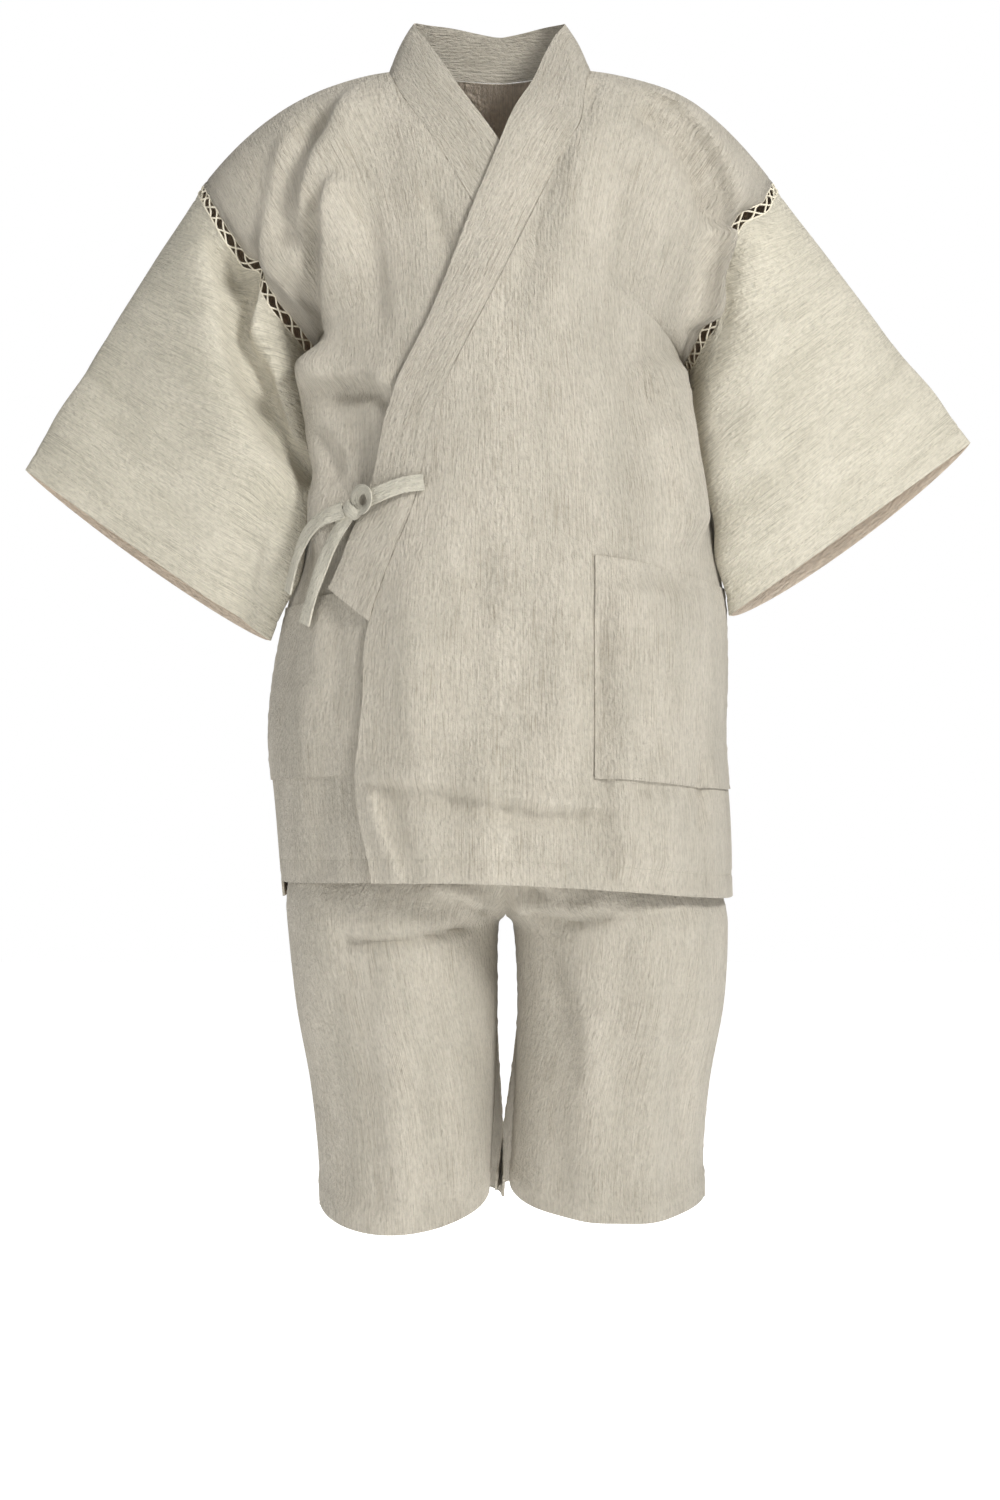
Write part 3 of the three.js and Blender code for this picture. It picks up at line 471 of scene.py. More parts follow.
def shell(name, grid, uv, outer, inner, ring=False, flip=False, material=None, inside_material=None):
    """A closed thin cloth on a grid of mid points. outer and inner are its two half
    thicknesses, as numbers or grids, and uv is the place in the flat cloth, in millimetres."""
    rows, columns = grid.shape[:2]
    normal = grid_normals(grid, ring) * (-1 if flip else 1)
    outer = np.broadcast_to(np.asarray(outer, float), (rows, columns))[..., None]
    inner = np.broadcast_to(np.asarray(inner, float), (rows, columns))[..., None]
    points = np.concatenate([(grid + normal * outer).reshape(-1, 3), (grid - normal * inner).reshape(-1, 3)])
    layer = rows * columns
    span = columns if ring else columns - 1
    i, j = np.meshgrid(np.arange(rows - 1), np.arange(span), indexing="ij")
    nxt = (j + 1) % columns
    a, b = i * columns + j, i * columns + nxt
    c, d = (i + 1) * columns + nxt, (i + 1) * columns + j
    faces = [np.stack([a, b, c, d], -1).reshape(-1, 4), np.stack([a, d, c, b], -1).reshape(-1, 4) + layer]
    corner_uv = [(i, j), (i, j + 1), (i + 1, j + 1), (i + 1, j)]
    spots = [np.stack([p * (uv.shape[1]) + q for p, q in corner_uv], -1).reshape(-1, 4)]
    spots.append(spots[0][:, [0, 3, 2, 1]])

    def rim(first, second, spot_a, spot_b):
        faces.append(np.stack([first, first + layer, second + layer, second], -1))
        spots.append(np.stack([spot_a, spot_a, spot_b, spot_b], -1))

    k = np.arange(span)
    width = uv.shape[1]
    rim(k, (k + 1) % columns, k, k + 1)
    last = (rows - 1) * columns
    last_uv = (rows - 1) * width
    rim(last + (k + 1) % columns, last + k, last_uv + k + 1, last_uv + k)
    if not ring:
        m = np.arange(rows - 1)
        rim((m + 1) * columns, m * columns, (m + 1) * width, m * width)
        end = columns - 1
        rim(m * columns + end, (m + 1) * columns + end, m * width + end, (m + 1) * width + end)
    skin = len(faces[0])
    faces = np.concatenate(faces)
    spots = np.concatenate(spots)
    if flip:
        faces, spots = faces[:, ::-1], spots[:, ::-1]
    obj = mesh_object(name, points, faces, uv.reshape(-1, 2)[spots.reshape(-1)], material)
    if inside_material:
        obj.data.materials.append(inside_material)
        slot = np.zeros(len(faces), np.int32)
        slot[skin:2 * skin] = 1
        obj.data.polygons.foreach_set("material_index", slot)
    return obj


def mesh_object(name, points, faces, corner_uv=None, material=None, crease_angle=50):
    """A smooth-shaded object from points in millimetres and faces of one size."""
    mesh = bpy.data.meshes.new(name)
    count, size = faces.shape
    mesh.vertices.add(len(points))
    mesh.vertices.foreach_set("co", (np.asarray(points, float) * MM).ravel())
    mesh.loops.add(count * size)
    mesh.loops.foreach_set("vertex_index", faces.ravel().astype(np.int32))
    mesh.polygons.add(count)
    mesh.polygons.foreach_set("loop_start", np.arange(0, count * size, size, dtype=np.int32))
    mesh.polygons.foreach_set("use_smooth", np.ones(count, bool))
    if corner_uv is not None:
        layer = mesh.uv_layers.new(name="cloth")
        layer.data.foreach_set("uv", (corner_uv * MM).ravel())
    mesh.update(calc_edges=True)
    mesh.validate()
    mesh.set_sharp_from_angle(angle=math.radians(crease_angle))
    obj = bpy.data.objects.new(name, mesh)
    bpy.context.scene.collection.objects.link(obj)
    if material:
        mesh.materials.append(material)
    return obj


# ---------------------------------------------------------------- materials


class Nodes:
    """Short calls for building a node material."""

    def __init__(self, name):
        self.material = bpy.data.materials.new(name)
        self.material.use_nodes = True
        self.tree = self.material.node_tree
        self.tree.nodes.clear()

    def add(self, kind, **settings):
        node = self.tree.nodes.new(kind)
        for key, value in settings.items():
            if hasattr(node, key):
                setattr(node, key, value)
            else:
                node.inputs[key.replace("_", " ")].default_value = value
        return node

    def link(self, source, target):
        self.tree.links.new(source, target)

    def scaled(self, source, scale):
        node = self.add("ShaderNodeMapping")
        node.inputs["Scale"].default_value = scale
        self.link(source, node.inputs["Vector"])
        return node.outputs["Vector"]

    def noise(self, vector, scale, detail=3.0, rough=0.55):
        node = self.add("ShaderNodeTexNoise", Scale=1.0, Detail=detail, Roughness=rough)
        self.link(self.scaled(vector, scale), node.inputs["Vector"])
        return node.outputs["Fac"]

    def ramp(self, source, *stops):
        node = self.add("ShaderNodeValToRGB")
        band = node.color_ramp
        while len(band.elements) < len(stops):
            band.elements.new(0.5)
        for element, (place, color) in zip(band.elements, stops):
            element.position = place
            element.color = (*color, 1.0) if hasattr(color, "__len__") else (color, color, color, 1.0)
        self.link(source, node.inputs["Fac"])
        return node.outputs["Color"]

    def blend(self, share, first, second, mode="MIX"):
        node = self.add("ShaderNodeMix", data_type="RGBA", blend_type=mode)
        for index, value in zip((0, 6, 7), (share, first, second)):
            socket = node.inputs[index]
            if isinstance(value, bpy.types.NodeSocket):
                self.link(value, socket)
            elif hasattr(value, "__len__"):
                socket.default_value = (*value, 1.0)
            else:
                socket.default_value = value
        return node.outputs[2]

    def math(self, operation, first, second=0.0):
        node = self.add("ShaderNodeMath", operation=operation)
        for socket, value in zip(node.inputs, (first, second)):
            if isinstance(value, bpy.types.NodeSocket):
                self.link(value, socket)
            else:
                socket.default_value = value
        return node.outputs[0]


def cotton(name, light, base, slub, depth=1.0):
    """Crinkled cotton with fine grey slub streaks along the warp, in flat-cloth metres, and painted shade
    darkening the crinkle's hollows.
    """
    n = Nodes(name)
    uv = n.add("ShaderNodeUVMap", uv_map="cloth").outputs["UV"]
    cloud = n.ramp(n.noise(uv, (24, 8, 1), 3.0), (0.36, base), (0.64, light))
    bands = n.ramp(n.noise(uv, (520, 9, 1), 3.0, 0.6), (0.38, 0.0), (0.60, 0.5))
    ground = n.blend(bands, cloud, light)
    fine = n.ramp(n.noise(uv, (2000, 40, 1), 3.0, 0.6), (0.46, 0.0), (0.62, 0.4 * depth))
    ground = n.blend(fine, ground, slub)
    streaks = n.ramp(n.noise(uv, (1300, 20, 1), 3.0, 0.65), (0.50, 0.0), (0.63, 0.9))
    patch = n.ramp(n.noise(uv, (30, 9, 1), 2.0), (0.38, 0.15), (0.62, 0.75))
    color = n.blend(n.math("MULTIPLY", streaks, n.math("MULTIPLY", patch, depth)), ground, slub)
    crinkle = n.noise(uv, (400, 150, 1), 4.0, 0.62)
    ribs = n.noise(uv, (520, 60, 1), 2.0, 0.5)
    weave = n.noise(uv, (2400, 1500, 1), 1.0, 0.5)
    height = n.math("ADD", n.math("MULTIPLY", crinkle, 1.3), n.math("MULTIPLY", ribs, 0.45))
    height = n.math("ADD", height, n.math("MULTIPLY", weave, 0.1))
    bump = n.add("ShaderNodeBump", Strength=1.0, Distance=0.0032)
    n.link(height, bump.inputs["Height"])
    # Painted shade: the colour is darkened where the crinkle noise is low, shading the crinkle's hollows.
    hollow = n.ramp(crinkle, (0.35, 0.82), (0.55, 1.02))
    color = n.blend(0.75, color, n.blend(1.0, color, hollow, "MULTIPLY"))
    shader = n.add("ShaderNodeBsdfPrincipled", Roughness=0.92)
    shader.inputs["Sheen Weight"].default_value = 0.12
    shader.inputs["Sheen Roughness"].default_value = 0.5
    shader.inputs["Specular IOR Level"].default_value = 0.25
    n.link(color, shader.inputs["Base Color"])
    n.link(bump.outputs["Normal"], shader.inputs["Normal"])
    out = n.add("ShaderNodeOutputMaterial")
    n.link(shader.outputs["BSDF"], out.inputs["Surface"])
    return n.material


def cord_material():
    n = Nodes("Cream cord")
    place = n.add("ShaderNodeTexCoord").outputs["Object"]
    twist = n.noise(place, (900, 900, 900), 2.0)
    color = n.ramp(twist, (0.3, (0.62, 0.56, 0.42)), (0.7, (0.84, 0.79, 0.66)))
    bump = n.add("ShaderNodeBump", Strength=0.5, Distance=0.0004)
    n.link(twist, bump.inputs["Height"])
    shader = n.add("ShaderNodeBsdfPrincipled", Roughness=0.8)
    n.link(color, shader.inputs["Base Color"])
    n.link(bump.outputs["Normal"], shader.inputs["Normal"])
    out = n.add("ShaderNodeOutputMaterial")
    n.link(shader.outputs["BSDF"], out.inputs["Surface"])
    return n.material


def plain(name, color, roughness, glow=0.0):
    n = Nodes(name)
    shader = n.add("ShaderNodeBsdfPrincipled", Roughness=roughness)
    shader.inputs["Base Color"].default_value = (*color, 1.0)
    shader.inputs["Emission Color"].default_value = (1.0, 1.0, 1.0, 1.0)
    shader.inputs["Emission Strength"].default_value = glow
    out = n.add("ShaderNodeOutputMaterial")
    n.link(shader.outputs["BSDF"], out.inputs["Surface"])
    return n.material


LIGHT = (0.620, 0.571, 0.478)
BASE = (0.508, 0.471, 0.390)
SLUB = (0.335, 0.290, 0.220)
cotton_main = cotton("Crinkled cotton", LIGHT, BASE, SLUB)
# Painted light: a lighter, warmer copy of the jacket cotton for the sleeves, standing in for the light they
# catch.
sleeve_cotton_painted_light = cotton(
    "Sleeve cotton painted lighter", (0.715, 0.665, 0.545), (0.61, 0.568, 0.455), (0.34, 0.315, 0.245), 0.85
)
# Painted light: the inner faces get a lighter, warmer copy of the cotton, standing in for light reaching the
# inside of the jacket.
inside_cotton_painted_light = cotton(
    "Inner face cotton painted lighter", (0.82, 0.70, 0.56), (0.74, 0.62, 0.49), (0.50, 0.42, 0.33), 0.8
)
# Painted light: the ties get a lighter copy of the jacket cotton, standing in for the light on their raised
# upper faces.
tie_cotton_painted_light = cotton("Tie cotton painted lighter", (0.70, 0.66, 0.55), (0.60, 0.565, 0.46), (0.36, 0.35, 0.30), 0.6)
cord_finish = cord_material()
thread_finish = plain("Tonal thread", (0.44, 0.41, 0.33), 0.8)


# ---------------------------------------------------------------- stitches

SEWN = {}


def iso(grid, normal, field, value, ring=False):
    """Line across a grid's columns where a field falls to a value, with outward directions."""
    columns = range(grid.shape[1])
    points, normals = (
        np.array([[np.interp(-value, -field[:, j], rows[:, j, k]) for k in range(3)] for j in columns])
        for rows in (grid, normal)
    )
    if ring:
        points, normals = (np.concatenate([line, line[:1]]) for line in (points, normals))
    return points, normals


def sew(group, line, lift=0.75, length=3.2, space=1.3, radius=0.3):
    """Adds short thread stitches along a surface line to a group."""
    points, normals = line
    run = np.concatenate([[0], np.cumsum(np.linalg.norm(np.diff(points, axis=0), axis=1))])
    for begin in np.arange(2.0, run[-1] - length, length + space):
        spots = begin + np.array([0.0, 0.5, 1.0]) * length
        path = np.stack([np.interp(spots, run, points[:, k]) for k in range(3)], -1)
        up = np.stack([np.interp(spots, run, normals[:, k]) for k in range(3)], -1)
        path = path + up * (lift + np.array([-0.35, 0.1, -0.35]))[:, None]
        SEWN.setdefault(group, []).append(tube(path, radius, 4))


# ---------------------------------------------------------------- jacket


def inner_edge(side, v):
    """x of a body panel's inner edge on rows v: front edge, neck hole or centre-back seam."""
    edge = EDGES[side]
    seam = CENTRE
    x = np.full(np.shape(v), edge["x"][-1])
    ahead = np.maximum(v, 0)
    for _ in range(12):
        z = form(ahead, across_at(ahead, x))[..., 2]
        x = sample(edge, "z", "x", np.clip(z, edge["z"][0], 0))
    neck = seam + (edge["x"][-1] - seam) * np.sqrt(np.clip(1 - (v / NECK_DROP) ** 2, 0, 1))
    return np.where(v >= 0, x, np.where(v <= -NECK_DROP, seam, neck))


def underlap(side, v, s):
    """How far the covered front is held in, nothing at its side seam and shoulder."""
    if side == "left":
        return np.zeros(np.broadcast(v, s).shape)
    return np.where(v < 0, 0, -UNDERLAP * smooth((v - 60) / 90) * smooth((1 + s) / 0.45))


def armhole_gap(side, turn):
    """From the armhole's edge to the sleeve's head, at an angle round from the top."""
    length = np.where(turn <= np.pi, ARMHOLE * turn / np.pi, -ARMHOLE * (2 - turn / np.pi))
    edge = np.stack(row_end(side, length), -1)
    return sleeve_point(side, np.zeros(np.shape(turn)), turn) - edge


def cloth(v, s, lift=0.0):
    """The jacket's cloth: the plain form with its creases and undulations, moved out."""
    v, s = np.broadcast_arrays(np.asarray(v, float), np.asarray(s, float))
    point = form(v, s)
    x = point[..., 0]
    calm = smooth((1 - np.abs(s)) / 0.10) * smooth(np.abs(v) / 160)
    wave = np.where(v < 0, drape(x, v, 11, 110, 500, 1.6), drape(x, v, 5, 70, 420, 1.3))
    point = point + outward(v, s) * (wave * calm + lift)[..., None]
    near = smooth((np.abs(s) - 0.75) / 0.25) * smooth((ARMHOLE + 20 - np.abs(v)) / 40)
    turn = np.where(v >= 0, np.pi * np.minimum(v / ARMHOLE, 1), np.pi * (2 + np.maximum(v / ARMHOLE, -1)))
    gap = np.where((s < 0)[..., None], armhole_gap("right", turn), armhole_gap("left", turn))
    gap = gap * near[..., None]
    low = smooth((np.abs(v) - HEM_FROM) / (LENGTH - HEM_FROM))
    point[..., 2] -= low * np.where(v < 0, BACK_HEM, HEM_DIP * (x - CENTRE))
    return warp(point + BACK_SEAM * gap * np.sqrt(np.maximum(-np.sin(turn), 0))[..., None], point + 0.5 * gap)


def body_rows():
    """Cloth lengths of the mesh's rows, closer together round the back of the neck."""
    front = np.arange(0, LENGTH, ROW_STEP)
    neck = NECK_DROP * np.sin(np.radians(np.arange(3, 90, 4)))
    behind = np.concatenate([neck, [NECK_DROP], np.arange(NECK_DROP + 4, LENGTH, ROW_STEP), [LENGTH]])
    return np.concatenate([[LENGTH], front[::-1], -behind])


def body_panel(side, columns=120):
    v = body_rows()[:, None]
    start = across_at(v, inner_edge(side, v))
    s = mix(start, SIGN[side], np.linspace(0, 1, columns)[None, :])
    v = np.broadcast_to(v, s.shape)
    plain_form = form(v, s)
    from_side = arc(plain_form[:, ::-1], 1)[:, ::-1]
    from_inner = arc(plain_form, 1)
    grid = cloth(v, s, underlap(side, v, s))
    hem = LENGTH - np.abs(v)
    normal = grid_normals(grid) * SIGN[side]
    front_edge = np.where(v > BAND_END, from_inner, 99.0)
    bump = seam_groove(hem - HEM_TURN) + pucker(from_side, hem - HEM_TURN - 1, 3, 8, 0.35)
    bump = bump + np.where(np.abs(v) > ARMHOLE, 0, pucker(np.abs(v), from_side, 7, 7, 0.5, 16))
    bump = bump + seam_groove(np.where(np.abs(v) > ARMHOLE, 99.0, from_side - 5), 0.5)
    bump = bump + np.where((v > 0) & (v < BAND_END), pucker(v, from_inner, 9, 8, 0.45, 17), 0)
    bump = bump + seam_groove(front_edge - 8, 0.4)
    grid = grid + normal * bump[..., None]
    uv = np.stack([CLOTH_WIDTH * s, v], -1)
    inside = CLOTH / 2 + TURNED * smooth((FOLDED - hem) / 3)
    front, behind = v[:, 0] > ARMHOLE, v[:, 0] < -ARMHOLE
    sew("Stitches_jacket", iso(grid[front][::-1], normal[front][::-1], hem[front][::-1], HEM_TURN))
    sew("Stitches_jacket", iso(grid[behind], normal[behind], hem[behind], HEM_TURN))
    flip = side == "right"
    return shell(f"Body_{side}", grid, uv, CLOTH / 2, inside, False, flip, cotton_main, inside_cotton_painted_light)


def collar_grid(side, v, columns):
    """Points across the collar band, from the panel's edge to the free edge."""
    edge = across_at(v, inner_edge(side, v))
    held = underlap(side, v, edge)
    seam = cloth(v, edge, held + 0.5)
    tab = COLLARS[side]
    free_v = sample(tab, "v", "free_v", v)
    free_s = across_at(free_v, sample(tab, "v", "free_x", v))
    lift = held + 1.2
    free = cloth(free_v, free_s, lift)
    free[..., 2] += sample(tab, "v", "stand", v)
    seam = seam + unit(free - seam) * BAND_INSET
    share = np.linspace(0, 1, columns)[None, :, None]
    return seam[:, None] * (1 - share) + free[:, None] * share


def collar():
    def stations(side):
        low, high = COLLARS[side]["v"][0], COLLARS[side]["v"][-1]
        v = body_rows()
        return v[(v >= low) & (v <= high)]

    columns = BAND_WIDTH_STEPS
    left = stations("left")
    left = np.concatenate([[BAND_END], left])
    right = stations("right")[::-1][1:]
    grid = np.concatenate([collar_grid("left", left, columns), collar_grid("right", right, columns)])
    for _ in range(3):
        grid[1:-1] = (grid[:-2] + 2 * grid[1:-1] + grid[2:]) / 4
    along = np.mean(arc(grid, 0), axis=1, keepdims=True)
    across = arc(grid, 1)
    share = np.linspace(-1, 1, columns)[None, :]
    band = pucker(along, across, 21, 7, 0.45, 16) + drape(across, along, 8, 60, 160, 0.5)
    crown = 1.3 * (1 - share**2) + band
    normal = -grid_normals(grid)
    grid = grid + normal * crown[..., None]
    uv = np.stack([across + 40.0, np.broadcast_to(along, across.shape)], -1)
    thick = 1.1 - 0.5 * np.abs(share) ** 6
    return shell("Collar", grid, uv, thick, thick, flip=True, material=cotton_main)


def sleeve_point(side, t, turn):
    """A sleeve's section at t, from the top round the front to the underarm and back."""
    tab = SLEEVES[side]
    share = (1 - np.cos(turn)) / 2
    front = np.sin(turn) > 0
    depth = np.where(front, -sample(tab, "t", "front", t), sample(tab, "t", "back", t))
    swell = np.abs(np.sin(turn)) ** sample(tab, "t", "point", t)
    x = mix(sample(tab, "t", "top_x", t), sample(tab, "t", "under_x", t), share)
    y = sample(tab, "t", "under_y", t) * share + depth * swell
    z = mix(sample(tab, "t", "top_z", t), sample(tab, "t", "under_z", t), share)
    z = z - np.where(front, 0, sample(tab, "t", "drop", t) * swell)
    return np.stack([x, y, z], -1)


def sleeve_cloth(side, t, turn):
    """The sleeve with its creases, its head drawn up a little towards the armhole."""
    gap = armhole_gap(side, turn)
    point = sleeve_point(side, t, turn)
    near = (1 - smooth(t / 0.22))[..., None]
    drawn = BACK_SEAM * np.sqrt(np.maximum(-np.sin(turn), 0))[..., None] - 0.26
    return warp(point + drawn * gap * near, point - 0.5 * gap * near)


def sleeve(side, rows=110, columns=200):
    t = np.linspace(0, 1, rows)[:, None]
    turn = 2 * np.pi * np.arange(columns)[None, :] / columns
    t, turn = np.broadcast_arrays(t, turn)
    plain_form = sleeve_point(side, t, turn)
    down = arc(plain_form, 0)
    around = arc(np.concatenate([plain_form, plain_form[:, :1]], 1), 1)
    grid = sleeve_cloth(side, t, turn)
    total = around[:, -1:]
    cuff = down[-1:] - down
    flip = side == "right"
    normal = grid_normals(grid, True) * (-1 if flip else 1)
    calm = smooth(down / 30) * (0.35 + 0.65 * smooth(cuff / 60))
    bump = drape(t * SLEEVE_LENGTH, around[:, :-1], 31, 120, 260, 1.4) * calm
    off = cuff - CUFF_TURN
    bump = bump + seam_groove(off) + pucker(around[:, :-1], off, 13, 8, 0.35)
    bump = bump + pucker(around[:, :-1], down, 17, 7, 0.4, 15) + seam_groove(down - 5, 0.5)
    grid = grid + normal * bump[..., None]
    fold = plain_form[-1, 0] - plain_form[0, 0]
    along = (plain_form - plain_form[0, 0]) @ (fold / np.linalg.norm(fold))
    uv = np.stack([np.concatenate([along, along[:, :1]], 1), around - total / 2], -1)
    inside = CLOTH / 2 + TURNED * smooth((CUFF_FOLDED - cuff) / 3)
    sew("Stitches_jacket", iso(grid, normal, cuff, CUFF_TURN, ring=True))
    return shell(f"Sleeve_{side}", grid, uv, CLOTH / 2, inside, True, flip, sleeve_cotton_painted_light, inside_cotton_painted_light)


def tube(path, radius, sides=6, closed=False):
    """Points and faces of a round cord along a path."""
    path = np.asarray(path, float)
    if closed:
        tangent = np.roll(path, -1, 0) - np.roll(path, 1, 0)
    else:
        tangent = np.gradient(path, axis=0)
    tangent = unit(tangent)
    guide = np.tile([0.0, 1.0, 0.0], (len(path), 1))
    steep = np.abs(tangent[:, 1]) > 0.9
    guide[steep] = [1.0, 0.0, 0.0]
    first = unit(np.cross(tangent, guide))
    second = np.cross(tangent, first)
    angle = 2 * np.pi * np.arange(sides) / sides
    ring = np.cos(angle)[None, :, None] * first[:, None] + np.sin(angle)[None, :, None] * second[:, None]
    points = (path[:, None] + radius * ring).reshape(-1, 3)
    count = len(path)
    i, j = np.meshgrid(np.arange(count if closed else count - 1), np.arange(sides), indexing="ij")
    k = (i + 1) % count
    nxt = (j + 1) % sides
    faces = np.stack([i * sides + j, i * sides + nxt, k * sides + nxt, k * sides + j], -1).reshape(-1, 4)
    return points, faces


def joined(name, parts, material):
    """One object from many point and face lists."""
    points, faces, start = [], [], 0
    for part_points, part_faces in parts:
        points.append(part_points)
        faces.append(part_faces + start)
        start += len(part_points)
    return mesh_object(name, np.concatenate(points), np.concatenate(faces), None, material)


def lacing(side):
    """Open cord-work between armhole and sleeve: two crossing zigzags and their edge cords."""
    count = LACE_CROSSINGS * LACE_STEPS
    turn = 2 * np.pi * np.arange(count) / count
    length = np.where(turn <= np.pi, ARMHOLE * turn / np.pi, -ARMHOLE * (2 - turn / np.pi))
    s = np.full(count, SIGN[side])
    inner = cloth(length, s)
    outer = sleeve_cloth(side, np.zeros(count), turn)
    normal = outward(length, s * 0.99)
    phase = LACE_CROSSINGS * turn / 2
    wave = np.arcsin(np.sin(phase)) / np.pi + 0.5
    over = 0.75 * np.cos(2 * phase + np.pi / 2)
    parts = []
    for share, height in ((wave, over), (1 - wave, -over)):
        eased = smooth(share) * 0.5 + share * 0.5
        path = inner + (outer - inner) * (0.04 + 0.92 * eased)[:, None] + normal * height[:, None]
        parts.append(tube(path, LACE_RADIUS, 6, True))
    for share in (0.03, 0.97):
        path = inner + (outer - inner) * share
        parts.append(tube(path, LACE_EDGE_RADIUS, 6, True))
    return joined(f"Lacing_{side}", parts, cord_finish)


POCKETS = {
    "left": {"top": 508, "bottom": 706, "inner": 94, "outer": 0.93},
    "right": {"top": 528, "bottom": 702, "inner": -60, "outer": 0.95},
}


def pocket(side, rows=44, columns=44):
    size = POCKETS[side]
    v = mix(size["top"], size["bottom"], np.linspace(0, 1, rows))[:, None]
    start = across_at(v, size["inner"])
    s = mix(start, SIGN[side] * size["outer"], np.linspace(0, 1, columns)[None, :])
    v = np.broadcast_to(v, s.shape)
    raise_by = 1.5 if side == "right" else 1.9
    grid = cloth(v, s, underlap(side, v, s) + raise_by)
    across, down = arc(grid, 1), arc(grid, 0)
    edge = np.minimum(across, across[:, -1:] - across)
    low = down[-1:] - down
    near = np.minimum(edge, low)
    normal = grid_normals(grid) * SIGN[side]
    bump = seam_groove(near - 2, 0.5) + pucker(across + down, near, 41, 7, 0.3, 14)
    bump = bump + seam_groove(down - 20, 0.5) + pucker(across, down - 20, 43, 7, 0.3, 14)
    bump = bump + (0.0 if side == "right" else 1.2) * smooth(edge / 40) * smooth((40 - down) / 40)
    grid = grid + normal * bump[..., None]
    uv = np.stack([CLOTH_WIDTH * s + 41, v + 37], -1)
    sew("Stitches_jacket", iso(grid, normal, low, 3.0))
    sew("Stitches_jacket", iso(grid.swapaxes(0, 1), normal.swapaxes(0, 1), -across.T, -3.0))
    return shell(f"Pocket_{side}", grid, uv, 0.6, 0.6, flip=side == "right", material=cotton_main)


# ---------------------------------------------------------------- ties

TIE_WIDTH = 14.0
TIES = {
    "tie_front": table(
        "k x z lift",
        (0, -55, -388, 3.2), (1, -70, -390, 4.5), (2, -84, -395, 7.5), (3, -101, -403, 10),
    ),
    "tie_side": table(
        "k x z lift",
        (0, -156, -422, 3), (1, -146, -420, 5), (2, -134, -416, 8), (3, -122, -411, 10),
    ),
    "tail_short": table(
        "k x z lift",
        (0, -118, -413, 15), (1, -138, -424, 18), (2, -155, -448, 17), (3, -168, -486, 14),
    ),
    "tail_long": table(
        "k x z lift",
        (0, -116, -416, 12), (1, -131, -442, 11), (2, -146, -477, 10), (3, -158, -513, 8),
    ),
}
KNOT = {"x": -103, "z": -404, "lift": 13}


def ribbon(name, tab, width=TIE_WIDTH, steps=60, columns=9):
    """A flat tie along a route over the jacket, crowned across and rippled along its length."""
    at = np.linspace(0, tab["k"][-1], steps)
    x, z = sample(tab, "k", "x", at), sample(tab, "k", "z", at)
    v = length_at(x, z)
    s = across_at(v, x)
    normal = outward(v, s)
    path = form(v, s) + normal * sample(tab, "k", "lift", at)[:, None]
    along = np.gradient(path, axis=0)
    across = unit(np.cross(along, normal))
    share = np.linspace(-0.5, 0.5, columns)[None, :, None]
    grid = path[:, None] + across[:, None] * share * width
    run = arc(grid, 0)
    bump = 0.9 * (1 - (2 * share[..., 0]) ** 2) + 0.5 * np.sin(run / 9.0 + share[..., 0] * 4)
    grid = grid + normal[:, None] * bump[..., None]
    uv = np.stack([np.broadcast_to(share[..., 0] * width + 20, run.shape), run], -1)
    return shell(name, grid, uv, 0.9, 0.9, material=tie_cotton_painted_light)


def band_ring(name, middle, first, second, radii, width, lean):
    """A ring of the flat tie. first and second are its axes, and lean the way its width runs,
    as shares of the ring's own axis and of outward."""
    turn = np.linspace(0, 2 * np.pi, 48, endpoint=False)[:, None]
    route = middle + first * radii[0] * np.cos(turn) + second * radii[1] * np.sin(turn)
    out = unit(route - middle)
    axis = np.cross(first, second)
    band = np.linspace(-1, 1, 7)[:, None, None]
    grid = route + (axis * lean[0] + out * lean[1]) * band * width / 2
    grid = grid + (out * lean[0] + axis * lean[1]) * 1.4 * (1 - band**2)
    around = arc(np.concatenate([grid, grid[:, :1]], 1), 1)
    uv = np.stack([np.broadcast_to(band[..., 0] * width, around.shape), around], -1)
    return shell(name, grid, uv, 0.8, 0.8, True, material=tie_cotton_painted_light)


def knot():
    """The knot: a loop of the flat tie, and a second turn wrapped round where the tails leave."""
    v = length_at(KNOT["x"], KNOT["z"])
    s = across_at(v, KNOT["x"])
    normal = outward(v, s)
    centre = form(v, s) + normal * KNOT["lift"]
    level = np.cross(normal, [0.0, 0.0, 1.0])
    level *= np.sign(level[0]) / np.linalg.norm(level)
    rise = np.cross(level, normal)
    rise = rise if rise[2] > 0 else -rise
    tail = -0.62 * level - 0.78 * rise
    lying = level + 0.2 * normal
    loop = band_ring("Knot_loop", centre + normal * 1.0, lying, rise, (9.0, 9.5), 8.5, (0.35, 0.94))
    wrap = centre + level * -11 + rise * -9
    turn = band_ring("Knot_turn", wrap, np.cross(tail, normal), normal, (7.5, 4.5), 10.0, (1.0, 0.1))
    return [loop, turn]


# ---------------------------------------------------------------- shorts

